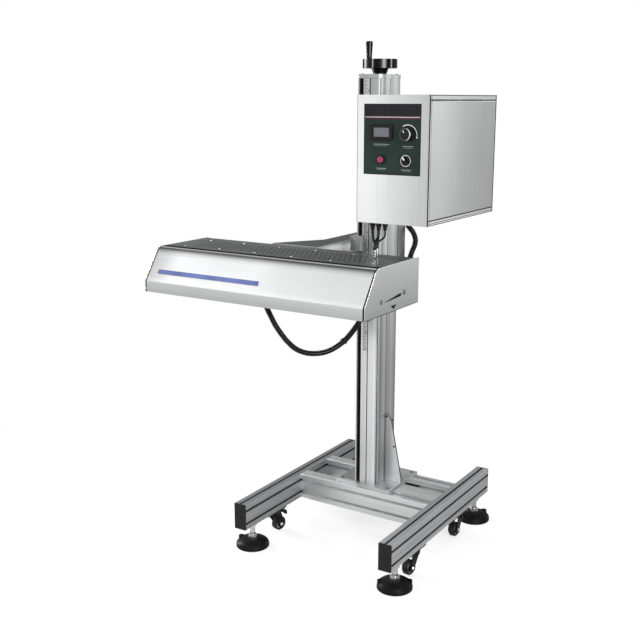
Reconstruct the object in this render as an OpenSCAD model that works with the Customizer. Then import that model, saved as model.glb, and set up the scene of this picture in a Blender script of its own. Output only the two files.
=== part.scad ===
// Induction cap sealer: a sealing head and a power box on a column, lifted by a handwheel and a lead screw.
// X runs along the head, -Y is the operator's side, Z is up, and the floor is Z = 0.

/* [Base frame] */
// Width over the two floor rails
base_w = 528; // [460:1:640]
// Length of the floor rails with their end caps
base_l = 660; // [600:1:800]
// Width of the aluminium profile
rail_w = 40; // [38:1:48]
// Height of the aluminium profile
rail_h = 80; // [72:1:100]
// Height of the rails above the floor
rail_z = 75; // [72:1:90]
// Thickness of the plastic end caps
cap_t = 4; // [2:0.5:8]
// Mouth of the slots in the profile
slot_w = 8; // [6:0.5:10]
// Width of the slots behind their lips
slot_inner_w = 15; // [12:0.5:16]
// Depth of the slots
slot_d = 10; // [8:0.5:11]
// Thickness of the slot lips
slot_lip = 4; // [3:0.5:5]
// Diameter of the core bores in the profile
core_d = 7; // [5:0.5:9]
// Centre of the front cross beam ahead of the middle of the base
front_beam_y = -14; // [-20:1:-8]
// Centre of the rear cross beam behind the middle of the base
rear_beam_y = 140; // [134:1:170]

/* [Feet] */
// Diameter of the foot pads
pad_d = 100; // [80:1:110]
// Height of the foot pads
pad_h = 26; // [20:1:28]
// Diameter of the foot stems
stem_d = 16; // [12:0.5:18]
// Diameter of the anchor bosses on a foot pad
anchor_d = 18; // [14:1:19]
// Distance from a foot's middle to its anchor bosses
anchor_r = 40; // [34:1:40]
// Distance from a rail's end to the foot
foot_inset = 62; // [56:1:80]
// Distance by which a foot can be screwed in
foot_rise = 20; // [10:1:22]
// Width across the flats of the foot nuts
nut_af = 25; // [22:0.5:28]
// Height of a foot nut
nut_h = 11; // [8:0.5:13]

/* [Casters] */
// Diameter of the caster wheels
wheel_d = 44; // [38:1:45]
// Width of the caster wheels
wheel_w = 22; // [16:0.5:24]
// Distance from the swivel pin to the wheel's axle
caster_trail = 22; // [16:1:24]
// Diameter of the wheel axles
axle_d = 6; // [5:0.5:8]
// Diameter of the swivel pins
kingpin_d = 8; // [6:0.5:10]
// Distance from a rail's end to the front casters
front_caster_inset = 170; // [160:1:200]
// Distance from a rail's end to the rear casters
rear_caster_inset = 192; // [180:1:240]
// Clear height under the caster wheels
caster_lift = 3; // [2:1:8]

/* [Column] */
// Width of the column
column_w = 74; // [70:1:80]
// Depth of the column
column_d = 116; // [110:1:124]
// Centre of the column behind the middle of the base
column_y = 47; // [44:1:56]
// Wall of the column
column_wall = 4; // [3:0.5:4]
// Height of the column's top above the floor
column_top_z = 1390; // [1350:1:1450]
// Thickness of the column's top plate
top_plate_t = 12; // [10:1:16]
// Width of the column's foot plate
foot_plate_w = 188; // [170:1:240]
// Thickness of the column's foot plate
foot_plate_t = 12; // [8:1:16]
// Width of the guide slot in the column's front
guide_slot_w = 13; // [12:0.5:13]
// Width of the shallow grooves in the column's faces
groove_w = 3; // [2:0.5:4]
// Depth of the shallow grooves
groove_d = 2; // [1:0.5:2.5]
// Height of the gusset beside the column
gusset_h = 219; // [180:1:260]
// Thickness of the gusset
gusset_t = 8; // [6:1:12]
// Width of the height scale
scale_w = 12; // [10:0.5:13]
// Length of the height scale
scale_l = 792; // [600:1:800]
// Thickness of the height scale
scale_t = 0.8; // [0.5:0.1:1.5]

/* [Lift] */
// Diameter of the lead screw
screw_d = 16; // [12:0.5:18]
// Outside diameter of the screw's bearings
bearing_d = 30; // [26:1:34]
// Height of the lower screw bearing
bearing_h = 20; // [14:1:28]
// Diameter of the handwheel
wheel_rim_d = 99; // [94:1:112]
// Height of the handwheel's rim
wheel_rim_h = 25; // [20:1:30]
// Number of grip lobes on the handwheel
wheel_lobes = 7; // [6:1:9]
// Distance from the handwheel's axis to the crank handle
crank_r = 32; // [30:1:34]
// Height of the crank handle
crank_h = 50; // [44:1:70]
// Diameter of the crank handle's top
crank_d = 20; // [18:1:22]
// Diameter of the pin in the crank handle
crank_pin_d = 8; // [6:0.5:9]
// Thickness of the carriage's side plate
side_t = 10; // [8:1:12]
// Gap between the carriage and the column
carriage_gap = 4; // [3:0.5:5]
// Depth of the carriage's rear block
rear_block_d = 43; // [36:1:44]
// Height of the carriage's side plate
side_plate_h = 260; // [220:1:290]
// Height of the carriage's rear block
rear_block_h = 410; // [390:1:414]
// Width of the arm
arm_w = 64; // [60:1:80]
// Height of the arm
arm_h = 65; // [56:1:80]
// Thickness of the arm's plates
arm_t = 5; // [4:0.5:6]
// Reach of the arm's wing beside the arm
wing_w = 89; // [60:1:110]

/* [Sealing head] */
// Height of the head's top above the floor
head_top_z = 923; // [880:1:930]
// Length of the head
head_l = 700; // [660:1:760]
// Depth of the head at its bottom
head_d = 278; // [270:1:290]
// Height of the head
head_h = 119; // [112:1:130]
// Distance from the head's left end to the middle of the base
head_left = 429; // [420:1:450]
// Distance from the middle of the base to the head's back
head_back = 218; // [214:1:224]
// Height of the upright lip under the sloping front
lip_h = 31; // [24:1:36]
// Distance by which the front slopes back
front_slope = 60; // [50:1:64]
// Radius where the sloping front meets the top
front_r = 22; // [16:1:28]
// Thickness of the end plates
end_t = 3; // [2:0.5:4]
// Thickness of the folded sheet
sheet_t = 2; // [1.5:0.1:2.5]
// Distance by which the end plates stand proud of the covers
end_proud = 1.5; // [1:0.1:2]
// Depth of the flange behind the rounded front edge
top_flange = 12; // [8:1:16]
// Diameter of the vent holes
vent_d = 8; // [5:0.5:9]
// Distance between vent holes in a row
vent_pitch = 15; // [14:0.5:20]
// Number of rows of vent holes
vent_rows = 7; // [4:1:7]
// Distance between rows of vent holes
vent_row_pitch = 15; // [14:0.5:18]
// Plain margin at the left end of the vent field
vent_margin = 50; // [40:1:90]
// Plain margin at the right end of the vent field
vent_right_margin = 76; // [60:1:120]
// Plain ring around the cable fittings
fitting_margin = 24; // [16:1:30]
// Thickness of the insulating bottom plate
bottom_t = 6; // [4:0.5:8]
// Width of the coil's winding
coil_w = 34; // [28:1:40]
// Height of the coil's winding
coil_h = 12; // [10:1:16]
// Distance from the coil's ends to the head's ends
coil_margin = 40; // [30:1:60]
// Number of ferrite bars over the coil
ferrite_count = 9; // [7:1:11]
// Width of a ferrite bar
ferrite_w = 28; // [20:1:34]
// Height of a ferrite bar
ferrite_h = 15; // [10:1:20]

/* [Power box] */
// Width of the box
box_w = 204; // [200:1:240]
// Depth of the box
box_d = 416; // [400:1:440]
// Height of the box
box_h = 323; // [310:1:360]
// Gap between the column and the box
box_side_gap = 76; // [72:1:90]
// Distance from the middle of the base to the box's front
box_front = 270; // [262:1:274]
// Gap between the head's top and the box
box_lift = 86; // [80:1:96]
// Thickness of the front panel
panel_t = 3; // [2.5:0.5:4]
// Height of the folded edges on the box's sides
box_edge = 12; // [10:1:24]
// Width of the seams along the box's side panels
seam_w = 1.6; // [1:0.1:3]
// Height of the bracket that carries the box
bracket_h = 170; // [140:1:176]
// Width of the control overlay
overlay_w = 161; // [156:1:176]
// Height of the control overlay
overlay_h = 176; // [170:1:190]
// Thickness of the control overlay
overlay_t = 0.8; // [0.5:0.1:1.2]
// Width of the meter's bezel
meter_w = 63; // [56:1:70]
// Height of the meter's bezel
meter_h = 39; // [34:1:44]
// Distance by which the meter's bezel stands out
meter_t = 5; // [4:0.5:8]
// Width of the meter's bezel around its window
meter_rim = 9; // [7:0.5:10]
// Diameter of the power knob
knob_d = 36; // [28:1:40]
// Length of the power knob
knob_l = 18; // [12:1:20]
// Diameter of the selector's ring
ring_d = 32; // [28:1:36]
// Diameter of the selector
selector_d = 22; // [18:1:24]
// Diameter of the red button
button_d = 16; // [12:0.5:18]
// Travel of the red button
button_travel = 3; // [2:0.5:3.5]
// Diameter of the shafts behind the controls
shaft_d = 6; // [5:0.5:8]

/* [Cables] */
// Diameter of the two thick cables
cable_d = 8; // [6:0.5:9]
// Diameter of the thin cable
thin_cable_d = 5; // [4:0.5:7]
// Diameter of the conduit
conduit_d = 17; // [14:0.5:18]

/* [Hidden] */
$fn = 48;

// Clearances
run_fit = 0.08;
body_gap = 0.3;
cut = 1;

// Base
rail_x = base_w / 2 - rail_w / 2;
rail_len = base_l - 2 * cap_t;
rail_top = rail_z + rail_h;
corner_r = 1.5;
foot_y = base_l / 2 - foot_inset;
front_caster_y = -base_l / 2 + front_caster_inset;
rear_caster_y = base_l / 2 - rear_caster_inset;
bore_top = rail_top - slot_d - 1;
stem_top = bore_top - foot_rise - 1;
stem_hole = stem_d + 2 * run_fit;
anchor_top = pad_h - 3;
anchor_depth = 9;
caster_plate_t = 3;
caster_plate_l = 96;
axle_z = caster_lift + wheel_d / 2;
fork_gap = 0.5;
cheek_t = 3;
boss_d = 40;
fork_top = rail_z - caster_plate_t - 6;
crown_t = 6;

// Column
column_front = column_y - column_d / 2;
column_back = column_y + column_d / 2;
column_z = rail_top + foot_plate_t;
plate_margin = 2;
plate_front = front_beam_y - rail_w / 2 + plate_margin;
plate_back = rear_beam_y + rail_w / 2 - plate_margin;
slot_x = -column_w / 2 + column_wall + guide_slot_w / 2;
corner_step = 3;
scale_x = -7.5;
shaft_top = column_top_z + 26;
rim_z = column_top_z + 17;
hub_d = 40;
hub_z = column_top_z + 4 + body_gap;

// Carriage
side_x = -column_w / 2 - carriage_gap - side_t;
bracket_back = column_front - 2;
bracket_d = 12;
bracket_front = bracket_back - bracket_d;
rear_front = column_back + carriage_gap;
rear_back = rear_front + rear_block_d;
rear_z = head_top_z - 53;
rear_drop = 30;
tie_z = head_top_z - 35;
tie_h = 44;
guide_l = 60;
tongue_w = guide_slot_w - 4;
nut_half = 20;
arm_x = side_x + side_t - 2;
arm_left = arm_x - arm_w;
arm_z = head_top_z - arm_h;
wing_y = -head_back + 137;

// Head
head_right = head_l - head_left;
head_z = head_top_z - head_h;
head_front = -head_back - head_d;
slope_len = norm([front_slope, head_h - lip_h]);
slope_dir = [front_slope, head_h - lip_h] / slope_len;
slope_in = [slope_dir.y, -slope_dir.x];
round_y = head_front + front_slope + front_r * tan((90 - acos(slope_dir.y)) / 2);
top_cover_y = round_y + top_flange;
top_recess = 3;
coil_side_margin = 45;
coil_span = head_d - 2 * coil_side_margin;

// Box
box_x = column_w / 2 + box_side_gap;
box_z = head_top_z + box_lift;
box_top = box_z + box_h;
box_back = -box_front + box_d;
panel_y = -box_front;
bracket_y = rear_front + 2;
bracket_t = 32;
bracket_z = box_z + 60;
bracket_wall = 4;
overlay_x = box_x + 20;
overlay_z = box_top - 22 - overlay_h;
face_y = panel_y - overlay_t;
meter_x = overlay_x + 52;
meter_z = overlay_z + 106;
knob_x = overlay_x + 127;
knob_z = overlay_z + 102;
button_x = overlay_x + 51;
button_z = overlay_z + 38;
selector_x = overlay_x + 123;
selector_z = overlay_z + 37;
ring_t = 5;
gland_y = panel_y + 20;
mains_x = box_x + box_w - 45;
mains_z = box_z + 45;
mains_d = 9;

// Cable routes, chosen by hand in the machine's own coordinates
gland_len = 20;
left_route = [[150, -250, 989], [150, -250, 984], [150, -250, 979], [156, -259, 969], [170, -277, 961],
  [177, -286, 952], [177, -286, 947], [177, -286, 942]];
middle_route = [[168, -250, 989], [168, -250, 984], [168, -250, 979], [168.5, -254, 969], [170, -265, 961],
  [171, -270, 952], [171, -270, 947], [171, -270, 942]];
right_route = [[187, -250, 989], [187, -250, 984], [187, -250, 979], [183, -250.5, 969], [172, -253, 961],
  [167, -254, 952], [167, -254, 947], [167, -254, 942]];
conduit_route = [[-207, -246, 782], [-207, -246, 764], [-197, -244, 737], [-185, -242, 714],
  [-175, -237, 691], [-162, -230, 668], [-145, -220, 642], [-123, -207, 619], [-99, -190, 607],
  [-77, -171, 604], [-57, -149, 607], [-40, -127, 617], [-24, -102, 634], [-15, -76, 654], [-9, -54, 674],
  [-3, -41, 692], [7, -35, 710], [24, -33, 730], [44, -26, 750],
  [58, -6, 768], [63, 28, 784], [63, 62, 796], [61, 94, 808], [57, 124, 823], [53, 150, 844],
  [54, 165, 868], [61, 169, 889], [63, 168, 908], [55, 167, 928], [40, 167, 944], [28, 168, 962],
  [25, 168, 984], [31, 167, 1006], [44, 162, 1024], [56, 151, 1036], [66, 137, 1043], [78, 127, 1045],
  [84, 126, 1045], [91, 126, 1045]];

// The part's origin is on the floor under the middle of its outline
x_low = -head_left;
x_high = max(box_x + box_w, rail_x + pad_d / 2);
shift = [-(x_low + x_high) / 2, -(head_front + base_l / 2) / 2, 0];

aluminium = [0.72, 0.73, 0.74];
steel = [0.82, 0.83, 0.84];
dark_plate = [0.36, 0.37, 0.38];
black_plastic = [0.07, 0.07, 0.075];
bronze = [0.66, 0.48, 0.26];

module placed() {
  translate(shift)
    children();
}

// Flat shapes

module rounded_rect(w, h, r) {
  square([w - 2 * r, h], center = true);
  square([w, h - 2 * r], center = true);
  for (x = [-1, 1], y = [-1, 1])
    translate([x * (w / 2 - r), y * (h / 2 - r)])
      circle(r, $fn = 24);
}

// A slot whose mouth opens towards +Y at the origin
module slot_2d() {
  throat = slot_inner_w / 2 - 3;
  translate([-slot_w / 2, -slot_lip - 0.1])
    square([slot_w, slot_lip + cut]);
  polygon([[-slot_inner_w / 2, -slot_lip], [slot_inner_w / 2, -slot_lip], [slot_inner_w / 2, -slot_lip - 2],
    [throat, -slot_d], [-throat, -slot_d], [-slot_inner_w / 2, -slot_lip - 2]]);
}

// Section of the slotted profile, upright
module profile_2d() {
  difference() {
    rounded_rect(rail_w, rail_h, corner_r);
    for (s = [-1, 1]) {
      rotate(90 - 90 * s)
        translate([0, rail_h / 2])
          slot_2d();
      for (z = [-1, 1])
        translate([s * rail_w / 2, z * rail_h / 4])
          rotate(-90 * s)
            slot_2d();
      translate([0, s * rail_h / 4])
        circle(d = core_d);
    }
  }
}

module stadium_2d(l, w) {
  square([l - w, w], center = true);
  for (s = [-1, 1])
    translate([s * (l - w) / 2, 0])
      circle(d = w);
}

module hexagon(af, h) {
  cylinder(d = af / cos(30), h = h, $fn = 6);
}

// Base frame

module rail(side) {
  color(aluminium)
    difference() {
      translate([side * rail_x, rail_len / 2, rail_z + rail_h / 2])
        rotate([90, 0, 0])
          linear_extrude(rail_len)
            profile_2d();
      for (y = [-foot_y, foot_y])
        translate([side * rail_x, y, rail_z - cut])
          cylinder(d = stem_hole, h = bore_top - rail_z + cut);
    }
}

module cross_beam(y) {
  translate([-rail_x + rail_w / 2, y, rail_z + rail_h / 2])
    rotate([90, 0, 90])
      linear_extrude(2 * rail_x - rail_w)
        profile_2d();
}

module cross_beams() {
  color(aluminium) {
    cross_beam(front_beam_y);
    cross_beam(rear_beam_y);
  }
}

module rail_end_caps() {
  color(black_plastic)
    for (x = [-1, 1], y = [-1, 1])
      translate([x * rail_x, y * (base_l - cap_t) / 2 + cap_t / 2, rail_z + rail_h / 2])
        rotate([90, 0, 0])
          linear_extrude(cap_t)
            rounded_rect(rail_w, rail_h, corner_r);
}

// Column

module column_2d() {
  stepped_corners = [[1, -1], [1, 1], [-1, 1]];
  rib = 4;
  inset = column_wall + rib / 2;
  difference() {
    square([column_w, column_d], center = true);
    square([column_w - 2 * column_wall, column_d - 2 * column_wall], center = true);
    translate([slot_x, -column_d / 2])
      square([guide_slot_w, 2 * column_wall + cut], center = true);
    for (corner = stepped_corners)
      translate([corner.x * column_w / 2, corner.y * column_d / 2])
        square(2 * corner_step, center = true);
    translate([2, -column_d / 2])
      square([groove_w, 2 * groove_d], center = true);
    translate([column_w / 4, column_d / 2])
      square([groove_w, 2 * groove_d], center = true);
    translate([-column_w / 4, column_d / 2])
      square([groove_w, 2 * groove_d], center = true);
    for (x = [-1, 1])
      translate([x * column_w / 2, -column_d * 0.05])
        square([2 * groove_d, groove_w], center = true);
  }
  // Ribs behind the thin corners
  for (corner = stepped_corners)
    translate([corner.x * (column_w / 2 - inset), corner.y * (column_d / 2 - inset)])
      square(rib + 0.02, center = true);
}

module column() {
  color(aluminium)
    translate([0, column_y, column_z])
      linear_extrude(column_top_z - top_plate_t - column_z)
        column_2d();
}

module column_foot_plate() {
  color(steel)
    translate([-foot_plate_w / 2, plate_front, rail_top])
      cube([foot_plate_w, plate_back - plate_front, foot_plate_t]);
}

module column_gusset() {
  reach = (foot_plate_w - column_w) / 2;
  color(steel)
    translate([column_w / 2, column_y + gusset_t / 2, column_z])
      rotate([90, 0, 0])
        linear_extrude(gusset_t)
          polygon([[0, 0], [reach, 0], [reach, 12], [reach * 0.36, gusset_h - 26], [4, gusset_h],
            [0, gusset_h]]);
}

module column_top_plate() {
  color(aluminium)
    translate([0, column_y, column_top_z - top_plate_t])
      difference() {
        linear_extrude(top_plate_t)
          rounded_rect(column_w, column_d, corner_r);
        translate([0, 0, -cut])
          cylinder(d = bearing_d, h = top_plate_t + 2 * cut);
      }
}

module height_scale() {
  color([0.85, 0.85, 0.83])
    translate([scale_x - scale_w / 2, column_front - scale_t, column_top_z - top_plate_t - scale_l])
      cube([scale_w, scale_t, scale_l]);
}

module bush(d, h) {
  difference() {
    cylinder(d = d, h = h);
    translate([0, 0, -cut])
      cylinder(d = screw_d + 2 * run_fit, h = h + 2 * cut);
  }
}

module screw_bearings() {
  color(bronze)
    translate([0, column_y, 0]) {
      translate([0, 0, column_z])
        bush(bearing_d, bearing_h);
      translate([0, 0, column_top_z - top_plate_t])
        bush(bearing_d, top_plate_t);
      translate([0, 0, column_top_z])
        bush(bearing_d + 8, 4);
    }
}

// Feet and casters

module foot_lock_nuts() {
  color(steel)
    for (x = [-1, 1], y = [-1, 1])
      translate([x * rail_x, y * foot_y, rail_z - nut_h])
        difference() {
          hexagon(nut_af, nut_h);
          translate([0, 0, -cut])
            cylinder(d = stem_hole, h = nut_h + 2 * cut);
        }
}

// The two places of a foot pad's anchor bosses
module anchors(angle) {
  for (a = [0, 180])
    rotate(angle + a)
      translate([anchor_r, 0, 0])
        children();
}

module foot(x, y, anchor_angle) {
  rim_h = 7;
  neck_d = nut_af * 1.25;
  translate([x * rail_x, y * foot_y, 0]) {
    color(black_plastic)
      difference() {
        union() {
          rotate_extrude($fn = 72)
            polygon(concat([[0, 0], [pad_d / 2 - 1, 0], [pad_d / 2, 1], [pad_d / 2, rim_h]],
              [for (a = [15 : 15 : 75])
                [neck_d / 2 + (pad_d - neck_d) / 2 * cos(a), rim_h + (pad_h - rim_h) * sin(a)]],
              [[neck_d / 2, pad_h], [0, pad_h]]));
          anchors(anchor_angle)
            cylinder(d = anchor_d, h = anchor_top);
        }
        anchors(anchor_angle)
          translate([0, 0, anchor_top - anchor_depth])
            cylinder(d = anchor_d / 2, h = anchor_depth + pad_h);
      }
    color(steel) {
      translate([0, 0, pad_h])
        hexagon(nut_af + 2, nut_h - 2);
      translate([0, 0, pad_h + nut_h - 2])
        cylinder(d = stem_d, h = stem_top - pad_h - nut_h + 2);
    }
  }
}

module caster_plates() {
  color(black_plastic)
    for (x = [-1, 1], y = [front_caster_y, rear_caster_y])
      translate([x * rail_x, y, 0])
        difference() {
          union() {
            translate([0, 0, rail_z - caster_plate_t])
              linear_extrude(caster_plate_t)
                rounded_rect(rail_w, caster_plate_l, 6);
            translate([0, 0, fork_top + body_gap])
              cylinder(d = boss_d, h = rail_z - caster_plate_t - fork_top - body_gap);
          }
          translate([0, 0, fork_top - cut])
            cylinder(d = kingpin_d + 2 * run_fit, h = rail_z - fork_top - 1);
        }
}

// Outline of a fork cheek: a disc over the axle joined to the crown
module cheek_2d() {
  circle(d = wheel_d * 0.62);
  crown_h = fork_top - axle_z;
  polygon([[-wheel_d * 0.31, 0], [wheel_d * 0.3, wheel_d * 0.08], [caster_trail + boss_d * 0.42, crown_h],
    [caster_trail - boss_d * 0.5, crown_h]]);
}

// Outline of the brake pedal, from the crown back over the wheel
module pedal_2d() {
  tip = caster_trail + wheel_d * 0.62;
  polygon([[0, -4], [0, 0], [-boss_d / 2 - 1, 0], [-caster_trail - wheel_d * 0.4, -1], [-tip, -5],
    [-tip - 2, -17], [-tip + 4, -18], [-tip + 7, -9], [-boss_d / 2 - 1, -4]]);
}

module caster_fork(side, y, turn) {
  inner = wheel_w / 2 + fork_gap;
  pedal_w = wheel_w * 0.7;
  color(black_plastic)
    translate([side * rail_x, y, 0])
      rotate(turn) {
        translate([0, 0, fork_top - crown_t])
          cylinder(d = boss_d, h = crown_t);
        translate([-boss_d * 0.42, -inner - cheek_t, fork_top - crown_t])
          cube([boss_d * 0.84, 2 * (inner + cheek_t), crown_t]);
        translate([0, 0, fork_top])
          cylinder(d = kingpin_d, h = rail_z - fork_top - 3);
        for (s = [-1, 1])
          translate([-caster_trail, s * (inner + cheek_t / 2) + cheek_t / 2, axle_z])
            rotate([90, 0, 0])
              linear_extrude(cheek_t)
                cheek_2d();
        translate([-caster_trail, inner + 1, axle_z])
          rotate([90, 0, 0])
            cylinder(d = axle_d, h = 2 * inner + 2);
        translate([0, pedal_w / 2, fork_top])
          rotate([90, 0, 0])
            linear_extrude(pedal_w)
              pedal_2d();
      }
}

module caster_wheel(side, y, turn) {
  hub_w = wheel_w;
  color([0.12, 0.12, 0.125])
    translate([side * rail_x, y, 0])
      rotate(turn)
        translate([-caster_trail, 0, axle_z])
          rotate([90, 0, 0])
            rotate_extrude($fn = 64)
              polygon([[axle_d / 2 + run_fit, -hub_w / 2], [wheel_d * 0.2, -hub_w / 2],
                [wheel_d * 0.22, -hub_w / 2 + 2], [wheel_d * 0.36, -hub_w / 2 + 2],
                [wheel_d * 0.38, -hub_w / 2 + 0.5], [wheel_d / 2 - 3, -hub_w / 2 + 0.5],
                [wheel_d / 2, -hub_w / 2 + 4], [wheel_d / 2, hub_w / 2 - 4],
                [wheel_d / 2 - 3, hub_w / 2 - 0.5], [wheel_d * 0.38, hub_w / 2 - 0.5],
                [wheel_d * 0.36, hub_w / 2 - 2], [wheel_d * 0.22, hub_w / 2 - 2],
                [wheel_d * 0.2, hub_w / 2], [axle_d / 2 + run_fit, hub_w / 2]]);
}

// Screw and handwheel

module lead_screw() {
  color(steel)
    translate([0, column_y, column_z + body_gap])
      cylinder(d = screw_d, h = shaft_top - column_z - body_gap);
}

module lobed_2d() {
  scallop = wheel_rim_d * 0.16;
  difference() {
    circle(d = wheel_rim_d, $fn = 96);
    for (i = [0 : wheel_lobes - 1])
      rotate((i + 0.5) * 360 / wheel_lobes)
        translate([wheel_rim_d / 2 + scallop * 0.72, 0])
          circle(scallop);
  }
}

module handwheel() {
  dish_d = wheel_rim_d * 0.68;
  color(black_plastic)
    translate([0, column_y, 0])
      difference() {
        union() {
          translate([0, 0, rim_z])
            linear_extrude(wheel_rim_h)
              difference() {
                lobed_2d();
                circle(d = dish_d);
              }
          translate([0, 0, rim_z])
            cylinder(d = dish_d + 1, h = 7);
          translate([0, 0, hub_z])
            cylinder(d1 = hub_d, d2 = wheel_rim_d * 0.5, h = rim_z - hub_z);
          translate([0, 0, rim_z])
            cylinder(d = hub_d, h = 14);
          rotate(crank_angle)
            translate([crank_r, 0, rim_z]) {
              cylinder(d = crank_d, h = wheel_rim_h);
              cylinder(d = crank_pin_d, h = wheel_rim_h + crank_h - 8);
            }
        }
        translate([0, 0, hub_z - cut])
          cylinder(d = screw_d + 2 * run_fit, h = shaft_top - hub_z + cut + run_fit);
      }
}

module crank_handle() {
  base_z = rim_z + wheel_rim_h + body_gap;
  bore_h = crank_h - 7;
  color(black_plastic)
    translate([0, column_y, 0])
      rotate(crank_angle)
        translate([crank_r, 0, base_z])
          rotate_extrude()
            polygon(concat([[crank_pin_d / 2 + run_fit, 0], [crank_d * 0.36, 0], [crank_d * 0.38, 4],
              [crank_d * 0.46, crank_h * 0.62], [crank_d * 0.5, crank_h * 0.86]],
              [for (a = [0 : 30 : 90]) [crank_d * 0.5 - 4 + 4 * cos(a), crank_h - body_gap - 4 + 4 * sin(a)]],
              [[0, crank_h - body_gap], [0, bore_h], [crank_pin_d / 2 + run_fit, bore_h]]));
}

// Carriage and arm

module carriage_side_plate() {
  step_y = column_y - guide_l / 2;
  step_h = tie_z + tie_h - rear_z;
  color(steel)
    translate([side_x, 0, rear_z])
      rotate([90, 0, 90])
        linear_extrude(side_t)
          polygon([[bracket_back, 0], [rear_front, 0], [rear_front, side_plate_h], [step_y, side_plate_h],
            [step_y, step_h], [bracket_back, step_h]]);
}

module carriage_front_bracket() {
  right_x = slot_x + guide_slot_w / 2 + 4;
  color(steel) {
    translate([side_x, bracket_front, tie_z])
      cube([right_x - side_x, bracket_d, tie_h]);
    translate([slot_x - tongue_w / 2, bracket_back - 0.1, tie_z])
      cube([tongue_w, column_y - nut_half - bracket_back + 0.1, tie_h]);
    // Pointer that reads the height scale
    translate([right_x, bracket_back, head_top_z - 4])
      rotate([90, 0, 0])
        linear_extrude(2)
          polygon([[0, -5], [7, 0], [0, 5]]);
  }
}

module carriage_rear_block() {
  color(aluminium)
    translate([side_x, rear_front, rear_z - rear_drop])
      cube([column_w / 2 - side_x, rear_block_d, rear_block_h]);
}

module guide_pads() {
  pad_z = [rear_z + 10, rear_z + side_plate_h - 50];
  color([0.9, 0.9, 0.87])
    for (z = pad_z) {
      translate([side_x + side_t, column_y - guide_l / 2, z])
        cube([carriage_gap - body_gap, guide_l, 40]);
      translate([-column_w / 4, column_back + body_gap, z])
        cube([column_w / 2, carriage_gap - body_gap, 40]);
    }
}

module lead_nut() {
  left = slot_x - tongue_w / 2;
  color(bronze)
    translate([0, column_y, tie_z])
      difference() {
        translate([left, -nut_half, 0])
          cube([nut_half - left, 2 * nut_half, tie_h]);
        translate([0, 0, -cut])
          cylinder(d = screw_d + 2 * run_fit, h = tie_h + 2 * cut);
      }
}

// Plan of the arm's top plate, with the wing that spreads along the head's back
module arm_2d() {
  polygon([[arm_x, -head_back], [arm_x, bracket_front], [side_x, bracket_front], [side_x, rear_back],
    [arm_left, rear_back], [arm_left, wing_y], [arm_left - wing_w, -head_back]]);
}

module head_arm() {
  wing_web = norm([wing_w, wing_y + head_back]);
  color(steel) {
    for (z = [arm_z, head_top_z - arm_t])
      translate([0, 0, z])
        linear_extrude(arm_t)
          arm_2d();
    translate([arm_left, wing_y, arm_z])
      cube([arm_t, rear_back - wing_y, arm_h]);
    intersection() {
      translate([arm_left - wing_w, -head_back, arm_z])
        rotate(atan2(wing_y + head_back, wing_w))
          translate([0, -arm_t, 0])
            cube([wing_web + arm_t, arm_t, arm_h]);
      translate([0, 0, arm_z])
        linear_extrude(arm_h)
          arm_2d();
    }
  }
}

module box_bracket() {
  color(steel)
    translate([column_w / 2, bracket_y + bracket_t / 2, bracket_z + bracket_h / 2])
      rotate([90, 0, 90])
        linear_extrude(box_side_gap)
          difference() {
            rounded_rect(bracket_t, bracket_h, 4);
            rounded_rect(bracket_t - 2 * bracket_wall, bracket_h - 2 * bracket_wall, 2);
          }
}

// Head

// Front outline of the head from its lower edge to the end of its rounded top edge, moved in by an inset
function head_front_points(inset) =
  let (slope_start = [head_front, head_z + lip_h] + inset * slope_in,
       along = (head_front + inset - slope_start.x) / slope_dir.x,
       centre = [round_y, head_top_z - front_r],
       low = atan2(-slope_in.y, -slope_in.x))
  concat([[head_front + inset, head_z], slope_start + along * slope_dir],
    [for (i = [0 : 8])
      let (a = low + (90 - low) * i / 8)
      centre + (front_r - inset) * [cos(a), sin(a)]]);

module along_head(x, l) {
  translate([x, 0, 0])
    rotate([90, 0, 90])
      linear_extrude(l)
        children();
}

module head_end_plates() {
  color(steel)
    for (x = [-head_left, head_right - end_t])
      along_head(x, end_t)
        polygon(concat(head_front_points(0), [[-head_back, head_top_z], [-head_back, head_z]]));
}

module head_front_cover() {
  outer = head_front_points(end_proud);
  inner = head_front_points(end_proud + sheet_t);
  back = [for (i = [len(inner) - 1 : -1 : 0]) inner[i]];
  cover_top = head_top_z - end_proud;
  color(steel)
    along_head(-head_left + end_t, head_l - 2 * end_t)
      polygon(concat(outer, [[top_cover_y, cover_top], [top_cover_y, cover_top - sheet_t]], back));
}

// Distance from a point on the top cover to the nearest cable fitting
function fitting_distance(point) =
  min([for (route = [left_route, middle_route, right_route])
    let (end = route[len(route) - 1])
    norm(point - [end.x, end.y])]);

module head_top_cover() {
  w = head_l - 2 * end_t;
  l = -head_back - sheet_t - top_cover_y;
  per_row = floor((w - vent_margin - vent_right_margin) / vent_pitch);
  middle = [(w + vent_margin - vent_right_margin) / 2, l / 2];
  corner = [-head_left + end_t, top_cover_y];
  color(dark_plate)
    translate([-head_left + end_t, top_cover_y, head_top_z - top_recess - sheet_t])
      linear_extrude(sheet_t)
        difference() {
          square([w, l]);
          for (row = [0 : vent_rows - 1], i = [0 : per_row - 1])
            let (vent = middle + [(i - (per_row - 1) / 2 + (row % 2 - 0.5) / 2) * vent_pitch,
                   (row - (vent_rows - 1) / 2) * vent_row_pitch])
              if (fitting_distance(corner + vent) > fitting_margin)
                translate(vent)
                  circle(d = vent_d, $fn = 24);
        }
}

module head_back_panel() {
  color(steel)
    translate([-head_left + end_t, -head_back - sheet_t, head_z])
      cube([head_l - 2 * end_t, sheet_t, head_h - top_recess]);
}

module head_bottom_plate() {
  front = head_front + end_proud + sheet_t;
  color([0.16, 0.15, 0.14])
    translate([-head_left + end_t, front, head_z])
      cube([head_l - 2 * end_t, -head_back - sheet_t - front, bottom_t]);
}

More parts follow.
